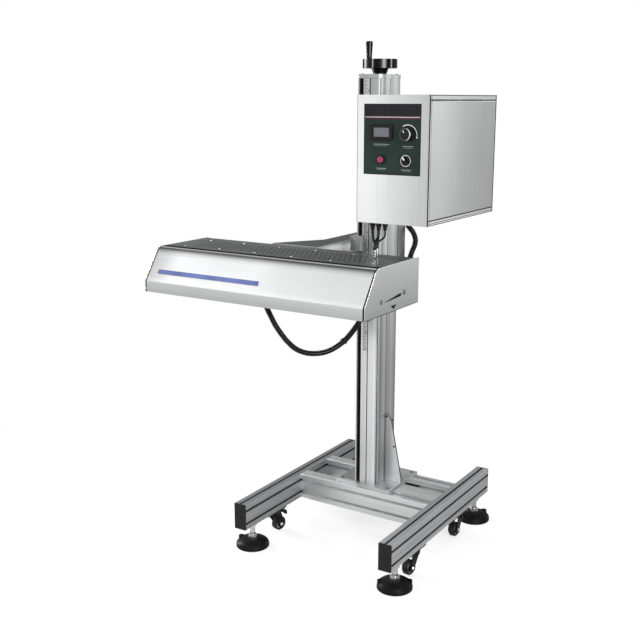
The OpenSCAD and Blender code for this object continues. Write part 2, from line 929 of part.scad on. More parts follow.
module induction_coil() {
  coil_l = head_l - 2 * coil_margin;
  color([0.72, 0.42, 0.2])
    translate([(head_right - head_left) / 2, -head_back - head_d / 2, head_z + bottom_t])
      linear_extrude(coil_h)
        difference() {
          stadium_2d(coil_l, coil_span);
          stadium_2d(coil_l - 2 * coil_w, coil_span - 2 * coil_w);
        }
}

module ferrite_cores() {
  span = head_l - 2 * coil_margin - coil_span - ferrite_w;
  pitch = span / (ferrite_count - 1);
  bar_l = coil_span;
  color([0.2, 0.2, 0.21])
    for (i = [0 : ferrite_count - 1])
      translate([(head_right - head_left - span - ferrite_w) / 2 + i * pitch,
          -head_back - (head_d + bar_l) / 2, head_z + bottom_t + coil_h])
        cube([ferrite_w, bar_l, ferrite_h]);
}

// Power box

module panel_bore(x, z, d) {
  translate([x, panel_y + panel_t + cut, z])
    rotate([90, 0, 0])
      cylinder(d = d, h = panel_t + overlay_t + 2 * cut);
}

module control_bores() {
  panel_bore(knob_x, knob_z, shaft_d + 2 * run_fit);
  panel_bore(selector_x, selector_z, shaft_d + 2 * run_fit);
  panel_bore(button_x, button_z, button_d - 4 + 2 * run_fit);
}

module box_front_panel() {
  color(steel)
    difference() {
      translate([box_x, panel_y, box_z])
        cube([box_w, panel_t, box_h]);
      control_bores();
    }
}

// Folded sheet with an edge down each side of the box
module box_channel() {
  linear_extrude(box_d - panel_t - sheet_t)
    polygon([[0, 0], [box_w, 0], [box_w, box_edge], [box_w - sheet_t, box_edge], [box_w - sheet_t, sheet_t],
      [sheet_t, sheet_t], [sheet_t, box_edge], [0, box_edge]]);
}

module box_bottom_tray() {
  color(steel)
    translate([box_x, box_back - sheet_t, box_z])
      rotate([90, 0, 0])
        box_channel();
}

module box_top_cover() {
  color(steel)
    translate([box_x + box_w, box_back - sheet_t, box_top])
      rotate([90, 180, 0])
        box_channel();
}

// Section of a side panel, stepped along its edges for the seams
module side_panel_2d() {
  h = box_h - 2 * box_edge;
  step = sheet_t / 2;
  polygon([[0, 0], [step, 0], [step, seam_w], [sheet_t, seam_w], [sheet_t, h - seam_w], [step, h - seam_w],
    [step, h], [0, h]]);
}

module box_side_panels() {
  color(steel)
    for (side = [0, 1])
      translate([box_x + box_w / 2, box_back - sheet_t, box_z + box_edge])
        mirror([side, 0, 0])
          translate([box_w / 2 - sheet_t, 0, 0])
            rotate([90, 0, 0])
              linear_extrude(box_d - panel_t - sheet_t)
                side_panel_2d();
}

module box_rear_panel() {
  vents = 8;
  vent_w = box_w * 0.5;
  color(steel)
    translate([box_x, box_back, box_z])
      rotate([90, 0, 0])
        linear_extrude(sheet_t)
          difference() {
            square([box_w, box_h]);
            for (i = [0 : vents - 1])
              translate([box_w / 2, box_h * 0.5 + i * 12])
                stadium_2d(vent_w, 4);
          }
}

module control_overlay() {
  color([0.13, 0.19, 0.17])
    difference() {
      translate([overlay_x, face_y, overlay_z])
        cube([overlay_w, overlay_t, overlay_h]);
      control_bores();
    }
}

module meter_bezel() {
  color(black_plastic)
    translate([meter_x, face_y, meter_z])
      rotate([90, 0, 0])
        linear_extrude(meter_t)
          difference() {
            rounded_rect(meter_w, meter_h, 3);
            square([meter_w - 2 * meter_rim, meter_h - 2 * meter_rim + 2], center = true);
          }
}

module meter_window() {
  depth = meter_t - 2;
  color([0.62, 0.63, 0.66])
    translate([meter_x - meter_w / 2 + meter_rim, face_y - depth, meter_z - meter_h / 2 + meter_rim - 1])
      cube([meter_w - 2 * meter_rim, depth, meter_h - 2 * meter_rim + 2]);
}

module ring(x, z, outer, inner, t) {
  translate([x, face_y, z])
    rotate([90, 0, 0])
      difference() {
        cylinder(d = outer, h = t);
        translate([0, 0, -cut])
          cylinder(d = inner, h = t + 2 * cut);
      }
}

module control_bezels() {
  color([0.8, 0.8, 0.82]) {
    ring(selector_x, selector_z, ring_d, selector_d + 2 * body_gap, ring_t);
    ring(button_x, button_z, button_d + 8, button_d + 2 * body_gap, ring_t);
  }
}

module power_module() {
  fins = 7;
  w = box_w * 0.7;
  l = box_d * 0.55;
  h = box_h * 0.28;
  fin_t = 6;
  color([0.5, 0.51, 0.52])
    translate([box_x + (box_w - w) / 2, panel_y + box_d * 0.3, box_z + sheet_t]) {
      cube([w, l, h]);
      for (i = [0 : fins - 1])
        translate([i * (w - fin_t) / (fins - 1), 0, h])
          cube([fin_t, l, h * 0.6]);
    }
}

// Controls

module on_face(x, z) {
  translate([x, face_y, z])
    rotate([90, 0, 0])
      children();
}

module power_knob() {
  flutes = 18;
  grip_d = knob_d * 0.86;
  color(black_plastic)
    on_face(knob_x, knob_z) {
      translate([0, 0, body_gap])
        cylinder(d = knob_d, h = knob_l * 0.3);
      translate([0, 0, body_gap + knob_l * 0.3])
        linear_extrude(knob_l * 0.7)
          difference() {
            circle(d = grip_d);
            for (i = [0 : flutes - 1])
              rotate(i * 360 / flutes)
                translate([grip_d / 2 + 0.4, 0])
                  circle(d = 2, $fn = 24);
          }
      translate([0, 0, -panel_t - overlay_t - 8])
        cylinder(d = shaft_d, h = panel_t + overlay_t + 8 + body_gap);
    }
}

module mode_selector() {
  blade_w = selector_d * 0.32;
  color(black_plastic)
    on_face(selector_x, selector_z) {
      translate([0, 0, body_gap])
        cylinder(d = selector_d, h = ring_t - 1);
      intersection() {
        translate([0, 0, body_gap])
          cylinder(d = selector_d - 0.4, h = ring_t + 6);
        rotate(125)
          translate([-selector_d / 2, -blade_w / 2, ring_t - 1.2])
            cube([selector_d, blade_w, 7]);
      }
      translate([0, 0, -panel_t - overlay_t - 8])
        cylinder(d = shaft_d, h = panel_t + overlay_t + 8 + ring_t - 1);
    }
}

module red_button() {
  plunger = button_d - 4;
  color([0.75, 0.08, 0.1])
    on_face(button_x, button_z)
      rotate_extrude()
        polygon([[0, -panel_t - overlay_t - 6], [plunger / 2, -panel_t - overlay_t - 6],
          [plunger / 2, button_travel + body_gap], [button_d / 2, button_travel + body_gap],
          [button_d / 2, ring_t + button_travel], [button_d / 2 - 1.5, ring_t + button_travel + 1.2],
          [0, ring_t + button_travel + 1.8]]);
}

// Cables

module gland(d, l) {
  translate([0, 0, -l * 0.45])
    hexagon(d * 1.8, l * 0.45);
  translate([0, 0, -l])
    cylinder(d1 = d * 1.3, d2 = d * 1.6, h = l * 0.56);
}

module cable_glands() {
  conduit_start = conduit_route[0];
  conduit_end = conduit_route[len(conduit_route) - 1];
  color(black_plastic) {
    for (route = [[left_route, cable_d], [middle_route, cable_d], [right_route, thin_cable_d + 2]])
      translate([route[0][0].x, gland_y, box_z])
        gland(route[1], gland_len);
    translate([conduit_start.x, conduit_start.y, head_z])
      gland(conduit_d * 0.8, head_z - conduit_start.z);
    translate([box_x, conduit_end.y, conduit_end.z])
      rotate([0, 90, 0])
        gland(conduit_d * 0.8, box_x - conduit_end.x);
    translate([mains_x, box_back, mains_z])
      rotate([90, 0, 0])
        gland(mains_d, gland_len);
  }
}

module head_cable_fittings() {
  fitting_z = head_top_z - top_recess;
  color([0.85, 0.85, 0.86])
    for (route = [[left_route, cable_d], [middle_route, cable_d], [right_route, thin_cable_d + 2]])
      let (end = route[0][len(route[0]) - 1])
        translate([end.x, end.y, fitting_z]) {
          hexagon(route[1] + 2, 5);
          cylinder(d = route[1] + 1, h = end.z - fitting_z);
        }
}

function unit(v) = v / norm(v);
function tangent(p, i) = unit(p[min(i + 1, len(p) - 1)] - p[max(i - 1, 0)]);
function carried(p, i) =
  i == 0
    ? unit(cross(tangent(p, 0), [0.31, 0.9, 0.3]))
    : let (last = carried(p, i - 1), t = tangent(p, i)) unit(last - (last * t) * t);

// One closed tube swept along a route
module tube(path, d, sides) {
  last = len(path) - 1;
  rings = [for (i = [0 : last])
    let (n = carried(path, i), b = cross(tangent(path, i), n))
    for (s = [0 : sides - 1]) path[i] + d / 2 * (n * cos(360 * s / sides) + b * sin(360 * s / sides))];
  walls = [for (i = [0 : last - 1], s = [0 : sides - 1])
    let (e = (s + 1) % sides)
    [i * sides + s, (i + 1) * sides + s, (i + 1) * sides + e, i * sides + e]];
  ends = [[for (s = [0 : sides - 1]) s], [for (s = [sides - 1 : -1 : 0]) last * sides + s]];
  color(black_plastic)
    polyhedron(rings, concat(walls, ends));
}

module cable_left() {
  tube(left_route, cable_d, 10);
}

module cable_middle() {
  tube(middle_route, cable_d, 10);
}

module cable_right() {
  tube(right_route, thin_cable_d, 10);
}

module conduit() {
  tube(conduit_route, conduit_d, 10);
}

// Casters as they stand in the photograph, turned about their swivel pins
front_left_turn = 255;
front_right_turn = 86;
rear_left_turn = 170;
rear_right_turn = 93;
front_left_anchor = 4;
front_right_anchor = 33;
rear_left_anchor = 33;
rear_right_anchor = 59;
crank_angle = 195;

module left_rail() {
  rail(-1);
}

module right_rail() {
  rail(1);
}

module front_left_caster_fork() {
  caster_fork(-1, front_caster_y, front_left_turn);
}

module front_right_caster_fork() {
  caster_fork(1, front_caster_y, front_right_turn);
}

module rear_left_caster_fork() {
  caster_fork(-1, rear_caster_y, rear_left_turn);
}

module rear_right_caster_fork() {
  caster_fork(1, rear_caster_y, rear_right_turn);
}

module front_left_caster_wheel() {
  caster_wheel(-1, front_caster_y, front_left_turn);
}

module front_right_caster_wheel() {
  caster_wheel(1, front_caster_y, front_right_turn);
}

module rear_left_caster_wheel() {
  caster_wheel(-1, rear_caster_y, rear_left_turn);
}

module rear_right_caster_wheel() {
  caster_wheel(1, rear_caster_y, rear_right_turn);
}

module front_left_foot() {
  foot(-1, -1, front_left_anchor);
}

module front_right_foot() {
  foot(1, -1, front_right_anchor);
}

module rear_left_foot() {
  foot(-1, 1, rear_left_anchor);
}

module rear_right_foot() {
  foot(1, 1, rear_right_anchor);
}

placed() left_rail();
placed() right_rail();
placed() cross_beams();
placed() rail_end_caps();
placed() column();
placed() column_foot_plate();
placed() column_gusset();
placed() column_top_plate();
placed() height_scale();
placed() screw_bearings();
placed() foot_lock_nuts();
placed() caster_plates();
placed() lead_screw();
placed() handwheel();
placed() crank_handle();
placed() carriage_side_plate();
placed() carriage_front_bracket();
placed() carriage_rear_block();
placed() guide_pads();
placed() lead_nut();
placed() head_arm();
placed() box_bracket();
placed() head_front_cover();
placed() head_top_cover();
placed() head_end_plates();
placed() head_back_panel();
placed() head_bottom_plate();
placed() induction_coil();
placed() ferrite_cores();
placed() box_front_panel();
placed() box_top_cover();
placed() box_bottom_tray();
placed() box_side_panels();
placed() box_rear_panel();
placed() control_overlay();
placed() meter_bezel();
placed() meter_window();
placed() control_bezels();
placed() power_module();
placed() cable_glands();
placed() head_cable_fittings();
placed() cable_left();
placed() cable_middle();
placed() cable_right();
placed() conduit();
placed() power_knob();
placed() mode_selector();
placed() red_button();
placed() front_left_caster_fork();
placed() front_right_caster_fork();
placed() rear_left_caster_fork();
placed() rear_right_caster_fork();
placed() front_left_caster_wheel();
placed() front_right_caster_wheel();
placed() rear_left_caster_wheel();
placed() rear_right_caster_wheel();
placed() front_left_foot();
placed() front_right_foot();
placed() rear_left_foot();
placed() rear_right_foot();
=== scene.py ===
"""Looks of the induction cap sealer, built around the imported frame."""

import math
from itertools import product

import bmesh
import bpy
from mathutils import Matrix, Vector


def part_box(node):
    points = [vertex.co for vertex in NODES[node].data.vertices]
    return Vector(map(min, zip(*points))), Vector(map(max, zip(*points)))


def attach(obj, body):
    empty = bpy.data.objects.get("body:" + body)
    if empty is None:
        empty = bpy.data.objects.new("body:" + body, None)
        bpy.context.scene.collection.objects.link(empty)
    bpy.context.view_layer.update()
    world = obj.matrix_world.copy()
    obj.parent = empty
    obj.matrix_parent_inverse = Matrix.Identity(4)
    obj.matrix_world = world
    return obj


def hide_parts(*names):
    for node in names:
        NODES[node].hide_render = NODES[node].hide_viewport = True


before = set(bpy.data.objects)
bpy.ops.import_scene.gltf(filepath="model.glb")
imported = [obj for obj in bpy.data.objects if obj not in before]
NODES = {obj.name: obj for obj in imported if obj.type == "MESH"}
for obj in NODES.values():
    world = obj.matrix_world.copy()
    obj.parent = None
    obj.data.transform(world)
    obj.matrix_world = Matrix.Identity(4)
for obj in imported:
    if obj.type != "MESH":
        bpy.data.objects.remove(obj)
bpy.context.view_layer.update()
MM = 0.001

# In the machine's own coordinates the column stands at X = 0, 47 mm behind the base's middle
COLUMN_LOW, COLUMN_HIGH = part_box("column")
COLUMN_BEHIND = 47 * MM
SHIFT = Vector(((COLUMN_LOW.x + COLUMN_HIGH.x) / 2, (COLUMN_LOW.y + COLUMN_HIGH.y) / 2 - COLUMN_BEHIND, 0))


def at(x, y, z):
    """A point given in millimetres in the machine's own coordinates, in the frame."""
    return Vector((x, y, z)) * MM + SHIFT


def own_box(node):
    """The corners of a node's box, in millimetres in the machine's own coordinates."""
    return [Vector([round(c, 2) for c in (corner - SHIFT) / MM]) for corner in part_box(node)]


def add_object(name, data):
    made = bpy.data.objects.new(name, data)
    bpy.context.scene.collection.objects.link(made)
    return made


# Camera, at the photograph's viewing angle

IMAGE_SIZE = 640
FOCAL_PIXELS = 960.5
SENSOR = 36
CAMERA_PLACE = (1379.6, -2428.7, 1319.8)
CAMERA_YAW = 32.59
CAMERA_PITCH = -12.92


def add_camera():
    data = bpy.data.cameras.new("camera")
    data.sensor_width = SENSOR
    data.lens = SENSOR * FOCAL_PIXELS / IMAGE_SIZE
    camera = add_object("camera", data)
    camera.location = at(*CAMERA_PLACE)
    camera.rotation_euler = (math.radians(90 + CAMERA_PITCH), 0, math.radians(CAMERA_YAW))
    bpy.context.scene.camera = camera


add_camera()


# Materials

def surface(name, colour, roughness, metallic, specular=0.5):
    """A principled material with its uniform values set on the shader's own sockets."""
    material = bpy.data.materials.new(name)
    material.use_nodes = True
    shader = material.node_tree.nodes["Principled BSDF"]
    for key, value in (("Base Color", (*colour, 1)), ("Roughness", roughness), ("Metallic", metallic),
                       ("Specular IOR Level", specular)):
        shader.inputs[key].default_value = value
    return material, material.node_tree, shader


def add_node(tree, kind, inputs=(), operation=None):
    """A shader node whose inputs, given by name or number, are set to a value or linked to a socket."""
    node = tree.nodes.new("ShaderNode" + kind)
    if operation:
        node.operation = operation
    for key, value in dict(inputs).items():
        if isinstance(value, bpy.types.NodeSocket):
            tree.links.new(value, node.inputs[key])
        else:
            node.inputs[key].default_value = value
    return node


def calc(tree, operation, a, b):
    """A math node between two sockets or numbers."""
    return add_node(tree, "Math", {0: a, 1: b}, operation).outputs[0]


def span(tree, value, low, high, to_low=0.0, to_high=1.0):
    """Maps a socket's range to another, and holds it there."""
    limits = {"From Min": low, "From Max": high, "To Min": to_low, "To Max": to_high}
    return add_node(tree, "MapRange", {"Value": value, **limits}).outputs["Result"]


def ramp(tree, value, steps):
    """A colour ramp with its colours at the given positions."""
    node = add_node(tree, "ValToRGB", {"Fac": value})
    elements = node.color_ramp.elements
    while len(elements) < len(steps):
        elements.new(0.5)
    for element, (position, colour) in zip(elements, steps):
        element.position = position
        element.color = (*colour, 1)
    return node.outputs["Color"]


def levels(tree, value, steps):
    """A grey ramp with its levels at the given positions."""
    return ramp(tree, value, [(position, (level, level, level)) for position, level in steps])


def along(tree, axis, output="Object"):
    """The place along an axis, in the frame's metres."""
    place = add_node(tree, "TexCoord").outputs[output]
    return add_node(tree, "SeparateXYZ", {"Vector": place}).outputs[axis]


# Most of a noise's values lie between these
NOISE_BAND = (0.3, 0.7)


def noise(tree, stretch, detail=3.0):
    """Noise in the frame's metres, with its own frequency along each axis."""
    place = add_node(tree, "TexCoord").outputs["Object"]
    place = add_node(tree, "Mapping", {"Vector": place, "Scale": stretch}).outputs["Vector"]
    return add_node(tree, "TexNoise", {"Vector": place, "Scale": 1.0, "Detail": detail}).outputs["Fac"]


def vary(tree, source, socket, low, high):
    """Drives a number on the shader from a noise."""
    tree.links.new(span(tree, source, *NOISE_BAND, low, high), socket)


def scaled(tree, colour, factor):
    """A colour, or the colour of a socket, times the number of a socket."""
    return add_node(tree, "VectorMath", {0: colour, "Scale": factor}, "SCALE").outputs["Vector"]


def painted_light_gradient_level(tree, axis, low, high, steps):
    """A grey level of painted light and shade that changes along an axis, with its steps between two places.
    """
    return levels(tree, span(tree, along(tree, axis), low, high), steps)


def bump(tree, source, shader, strength, distance):
    node = add_node(tree, "Bump", {"Height": source, "Strength": strength, "Distance": distance})
    tree.links.new(node.outputs["Normal"], shader.inputs["Normal"])


def shade(colour, factor):
    return tuple(min(1.0, c * factor) for c in colour)


METAL_CLOUDS, METAL_CLOUD_LIGHT = (5, 5, 5), (0.95, 1.03)
STREAK_FREQUENCY = 0.3
LINE_ROUGHNESS, LINE_BUMP = 0.03, 0.08
PLASTIC_CLOUDS, PLASTIC_CLOUD_LIGHT = (14, 14, 14), (0.8, 1.2)
SMOOTHER, ROUGHER = 0.05, 0.08
GRAIN_BUMP = 0.12


def brushed(name, colour, stretch, roughness=0.3, depth=0.00004, streaks=0.04, painted_light_gradients=(), painted_glint=()):
    """Brushed metal: fine lines along the axis with the lowest frequency, coarser streaks and clouds.

    A painted light gradient is an axis, where it starts and ends, and its steps of position and level: it
    paints light, reflection and shade into the colour, where they would fall on the metal. A painted
    highlight's two gradients are multiplied, and lift the metal where they are brighter.
    """
    material, tree, shader = surface(name, colour, roughness, metallic=1.0)
    lines = noise(tree, stretch, detail=2.0)
    coarse = noise(tree, tuple(STREAK_FREQUENCY * frequency for frequency in stretch))
    light = span(tree, noise(tree, METAL_CLOUDS, detail=2.0), *NOISE_BAND, *METAL_CLOUD_LIGHT)
    light = calc(tree, "MULTIPLY", light, span(tree, coarse, *NOISE_BAND, 1 - streaks, 1 + streaks))
    for painted_light_gradient in painted_light_gradients:
        light = calc(tree, "MULTIPLY", light, painted_light_gradient_level(tree, *painted_light_gradient))
    if painted_glint:
        lift = calc(tree, "MULTIPLY", *[painted_light_gradient_level(tree, *part) for part in painted_glint])
        light = calc(tree, "MAXIMUM", light, lift)
    tree.links.new(scaled(tree, colour, light), shader.inputs["Base Color"])
    vary(tree, lines, shader.inputs["Roughness"], roughness - LINE_ROUGHNESS, roughness + LINE_ROUGHNESS)
    bump(tree, lines, shader, LINE_BUMP, depth)
    return material


def moulded(name, colour, roughness, grain=900, depth=0.00008, painted_light_gradient=(), metallic=0.0, specular=0.5):
    """Moulded plastic, rubber or paint: faint cloudy colour and a fine grain, and painted light as brushed
    has.
    """
    material, tree, shader = surface(name, colour, roughness, metallic, specular)
    clouds = noise(tree, PLASTIC_CLOUDS)
    tone = ramp(tree, clouds, list(zip(NOISE_BAND, [shade(colour, light) for light in PLASTIC_CLOUD_LIGHT])))
    if painted_light_gradient:
        tone = scaled(tree, tone, painted_light_gradient_level(tree, *painted_light_gradient))
    tree.links.new(tone, shader.inputs["Base Color"])
    vary(tree, clouds, shader.inputs["Roughness"], roughness - SMOOTHER, roughness + ROUGHER)
    bump(tree, noise(tree, (grain, grain, grain), detail=1.0), shader, GRAIN_BUMP, depth)
    return material


def extent(node, axis):
    """An axis with a node's low and high place on it, as a painted light gradient states them."""
    low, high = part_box(node)
    return axis, low["XYZ".index(axis)], high["XYZ".index(axis)]


FINE, LONG = 850, 5
ALONG_X = (LONG, FINE, FINE)
ALONG_Y = (FINE, LONG, FINE)
ALONG_Z = (FINE, FINE, LONG)
EVEN = (300, 300, 300)
STEEL = (0.86, 0.865, 0.87)
ALUMINIUM = (0.66, 0.67, 0.68)

HEAD_LOW, HEAD_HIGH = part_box("head_end_plates")
LIP = 31
LIP_TOP = HEAD_LOW.z + LIP * MM
HEAD_ACROSS = extent("head_end_plates", "X")
BOX_UP = extent("box_front_panel", "Z")
BOX_ALONG = extent("box_side_panels", "Y")
COLUMN_ACROSS = extent("column", "X")
COLUMN_UP = extent("column", "Z")
PLATE_ACROSS = extent("column_foot_plate", "X")

steel_x = brushed("brushed_steel_x", STEEL, ALONG_X)
steel_z = brushed("brushed_steel_z", STEEL, ALONG_Z)
# Painted reflections on the head's front: darker at its ends, brightest left of its middle and at its foot,
# and a painted dark band where the bend turns to the top.
front_steel = brushed("head_front_steel", STEEL, ALONG_X, streaks=0.02, painted_light_gradients=[
    (*HEAD_ACROSS, [(0.0, 0.72), (0.06, 0.86), (0.13, 1.1), (0.2, 1.12), (0.5, 1.07), (0.7, 0.96),
                    (1.0, 0.88)]),
    ("Z", LIP_TOP, HEAD_HIGH.z, [(0.0, 1.16), (0.12, 1.02), (0.74, 0.98), (0.82, 0.84), (0.87, 0.6),
                                 (0.91, 0.32), (0.935, 0.14), (0.96, 0.14)])])
# The lip: the slope's steel painted darker, and darker still towards its bottom, as painted shade.
lip_steel_shaded = brushed("lip_steel_shaded", (0.63, 0.635, 0.64), ALONG_X, roughness=0.36, painted_light_gradients=[
    ("Z", HEAD_LOW.z, LIP_TOP, [(0.0, 0.8), (0.6, 0.92), (1.0, 1.06)])])
# Painted light and shade on the head's ends and the box: the ends darker towards their bottom, the box front
# lighter at its left, its sides lighter at the front and top, its lid and tray lighter at the front.
end_steel = brushed("head_end_steel", STEEL, ALONG_Y, painted_light_gradients=[
    (*extent("head_end_plates", "Z"), [(0.0, 0.6), (0.35, 0.69), (0.8, 0.81), (1.0, 0.87)])])
panel_steel = brushed("box_front_steel", STEEL, ALONG_Z, painted_light_gradients=[
    (*extent("box_front_panel", "X"), [(0.0, 1.15), (0.28, 1.07), (0.5, 0.92), (0.73, 0.82), (1.0, 0.7)]),
    (*BOX_UP, [(0.0, 1.0), (0.85, 1.0), (1.0, 0.96)])])
side_steel = brushed("box_side_steel", STEEL, ALONG_Z, painted_light_gradients=[
    (*BOX_ALONG, [(0.0, 1.03), (0.15, 1.0), (0.5, 0.75), (0.8, 0.66), (1.0, 0.62)]),
    (*BOX_UP, [(0.0, 0.92), (0.5, 1.0), (1.0, 1.1)])])
edge_steel = brushed("box_edge_steel", STEEL, ALONG_Y, painted_light_gradients=[
    (*BOX_ALONG, [(0.0, 1.12), (0.5, 1.0), (1.0, 0.88)])])
# Lit and shaded copies of one aluminium: the beams painted lighter, the left rail painted darker towards its
# bottom, and the carriage's rear block painted dark, as it stands in shade.
lit_aluminium_x = brushed("lit_aluminium_x", (0.82, 0.825, 0.83), ALONG_X, roughness=0.4, streaks=0.1)
aluminium_y = brushed("aluminium_y", (0.69, 0.7, 0.71), ALONG_Y, roughness=0.4, streaks=0.14)
aluminium_left = brushed("aluminium_left", ALUMINIUM, ALONG_Y, roughness=0.4, streaks=0.14, painted_light_gradients=[
    (*extent("left_rail", "Z"), [(0.0, 0.55), (1.0, 0.7)])])
shaded_aluminium_z = brushed("shaded_aluminium_z", (0.39, 0.395, 0.4), ALONG_Z, roughness=0.4)
# Painted light and shade on the column: the front darker towards the top, with a painted highlight band near
# its right corner and a painted highlight at the top of that corner; painted bands of reflection on its side,
# which is darker near the foot.
column_front = brushed("column_front", (0.78, 0.785, 0.79), ALONG_Z, roughness=0.36, painted_light_gradients=[
    (*COLUMN_UP, [(0.0, 1.0), (0.2, 1.0), (0.5, 0.95), (0.9, 0.55), (1.0, 0.52)]),
    (*COLUMN_ACROSS, [(0.0, 0.95), (0.45, 0.98), (0.8, 1.08), (0.88, 1.22), (0.93, 0.75), (1.0, 1.1)])],
    painted_glint=[(*COLUMN_UP, [(0.0, 0.0), (0.8, 0.0), (0.85, 1.0)]),
           (*COLUMN_ACROSS, [(0.0, 0.0), (0.885, 0.0), (0.9, 1.25), (1.0, 1.25)])])
column_corner_highlight = brushed("column_corner_highlight", (0.98, 0.98, 0.98), ALONG_Z, roughness=0.5, painted_light_gradients=[
    (*COLUMN_UP, [(0.0, 0.8), (0.8, 0.8), (0.85, 1.0)])])
column_side = brushed("column_side", (0.78, 0.785, 0.79), ALONG_Z, roughness=0.36, painted_light_gradients=[
    (*COLUMN_UP, [(0.0, 0.52), (0.05, 0.58), (0.12, 0.8), (0.2, 0.9), (0.4, 0.8), (0.55, 0.85), (0.63, 1.08),
                  (0.9, 1.1), (1.0, 1.15)]),
    (*extent("column", "Y"), [(0.0, 1.1), (0.08, 1.12), (0.13, 0.62), (0.2, 0.64), (0.27, 1.0), (0.42, 1.1),
                              (0.52, 0.78), (0.6, 0.88), (0.75, 1.08), (0.88, 0.78), (1.0, 0.6)])])
machined = brushed("machined_steel", (0.8, 0.8, 0.81), (400, 400, 400), roughness=0.25)
zinc = brushed("bright_zinc", (0.86, 0.86, 0.87), EVEN, roughness=0.14)
bronze = brushed("bronze", (0.62, 0.45, 0.24), EVEN, roughness=0.35)
copper = brushed("copper_winding", (0.7, 0.36, 0.17), (40, 1400, 1400), roughness=0.3, depth=0.0003)
# Painted light and shade on the foot plate and the gusset: a painted highlight along the plate's front left
# edge, the plate darker at its left, the gusset lighter at its foot and darker at its left.
plate_steel = brushed("plate_steel", (0.66, 0.665, 0.67), ALONG_X, roughness=0.45, painted_light_gradients=[
    (*PLATE_ACROSS, [(0.0, 0.62), (0.35, 0.62), (0.75, 0.95), (1.0, 0.92)])],
    painted_glint=[(*PLATE_ACROSS, [(0.0, 1.2), (0.35, 1.15), (0.6, 0.0)]),
           (*extent("column_foot_plate", "Y"), [(0.0, 1.0), (0.07, 1.0), (0.12, 0.0)])])
gusset_steel = brushed("gusset_steel", (0.76, 0.765, 0.77), ALONG_Z, roughness=0.42, painted_light_gradients=[
    (*extent("column_gusset", "Z"), [(0.0, 1.3), (0.15, 1.05), (1.0, 1.0)]),
    (*extent("column_gusset", "X"), [(0.0, 0.5), (0.25, 0.66), (0.5, 0.95), (0.85, 1.12), (1.0, 1.0)])])
# The arm's steel, painted darker than the head's: painted shade.
arm_steel = brushed("arm_steel", (0.55, 0.553, 0.556), ALONG_Y, roughness=0.36)
fitting_steel = brushed("fitting_steel", (0.5, 0.5, 0.51), EVEN, roughness=0.25)
stem_zinc = brushed("stem_zinc", (0.66, 0.66, 0.67), EVEN, roughness=0.2)
# A pale sheet that paints light on the arm's shaded web and a highlight on the end plates' top edges.
painted_light_sheet = moulded("painted_light_sheet", (0.85, 0.855, 0.86), 0.4, metallic=0.1)
grey_sheet = moulded("grey_sheet", (0.235, 0.238, 0.24), 0.4, metallic=0.3)
# A pale grey that paints highlights on the box's folded edges.
painted_edge_highlight = moulded("painted_edge_highlight", (0.42, 0.42, 0.42), 0.35, metallic=0.2)
# Painted shade: matt colours for the faces inside the slots and the hollow column, where the metal lies in
# shadow.
HOLLOW = {"roughness": 0.6, "specular": 0.05}
slot_shadow = moulded("slot_shadow", (0.08, 0.08, 0.082), **HOLLOW)
column_hollow_shade = moulded("column_hollow_shade", (0.032, 0.032, 0.033), **HOLLOW)
beam_shadow = moulded("beam_shadow", (0.46, 0.46, 0.464), **HOLLOW)
# The head's top cover is dark paint, with a painted reflection lighter towards its left end.
dark_sheet = moulded("dark_sheet", (0.078, 0.0795, 0.082), 0.28, grain=600, metallic=0.2, specular=0.2,
                     painted_light_gradient=(*HEAD_ACROSS, [(0.0, 1.0), (0.3, 1.0), (0.8, 0.62), (1.0, 0.6)]))
# Steel painted dark, for painted shade on the back panel's top, the gusset's sloped edge and the arm's top.
painted_shade_steel = brushed("painted_shade_steel", (0.16, 0.163, 0.168), ALONG_Y, roughness=0.34)
GLOSS = {"roughness": 0.24, "depth": 0.000002}
black_gloss = moulded("black_gloss_plastic", (0.003, 0.003, 0.0032), specular=0.12, **GLOSS)
wheel_gloss = moulded("wheel_gloss_plastic", (0.002, 0.002, 0.0021), specular=0.08, **GLOSS)
pad_rubber = moulded("pad_rubber", (0.0045, 0.0045, 0.0048), 0.4, specular=0.1)
black_satin = moulded("black_satin_plastic", (0.008, 0.008, 0.0085), 0.3, specular=0.18)
jacket = moulded("cable_jacket", (0.006, 0.006, 0.0065), 0.3, grain=500, specular=0.25)
tread = moulded("caster_tread", (0.012, 0.012, 0.0125), 0.4, specular=0.2)
ferrite = moulded("ferrite", (0.05, 0.05, 0.055), 0.6, grain=700)
insulating = moulded("insulating_plate", (0.06, 0.055, 0.05), 0.5)
FILM = {"grain": 1500, "depth": 0.00004, "specular": 0.22}
film_green = moulded("film_green", (0.0085, 0.018, 0.0145), 0.35, **FILM)
film_black = moulded("film_black", (0.007, 0.007, 0.008), 0.3, **FILM)
film_red = moulded("film_red", (0.05, 0.004, 0.012), 0.35, **FILM)
film_pink = moulded("film_pink", (0.3, 0.235, 0.255), 0.35, **FILM)
ink_white = moulded("ink_white", (0.74, 0.74, 0.73), 0.4)
ink_black = moulded("ink_black", (0.012, 0.012, 0.0125), 0.6, specular=0.0)
ink_grey = moulded("ink_grey", (0.3, 0.31, 0.31), 0.4)
ink_blue = moulded("ink_blue", (0.082, 0.11, 0.262), 0.4, specular=0.2)
dark_chrome = brushed("dark_chrome", (0.12, 0.12, 0.125), EVEN, roughness=0.12)
red_plastic = moulded("red_plastic", (0.195, 0.02, 0.05), 0.2, specular=0.4)
display = moulded("display_window", (0.12, 0.12, 0.14), 0.2, grain=1800, specular=0.3)
scale_metal = brushed("scale_strip", (0.55, 0.55, 0.545), ALONG_Z, roughness=0.35)
nylon = moulded("white_nylon", (0.72, 0.72, 0.69), 0.45)
heat_sink = brushed("heat_sink", (0.45, 0.46, 0.47), ALONG_Y, roughness=0.45)

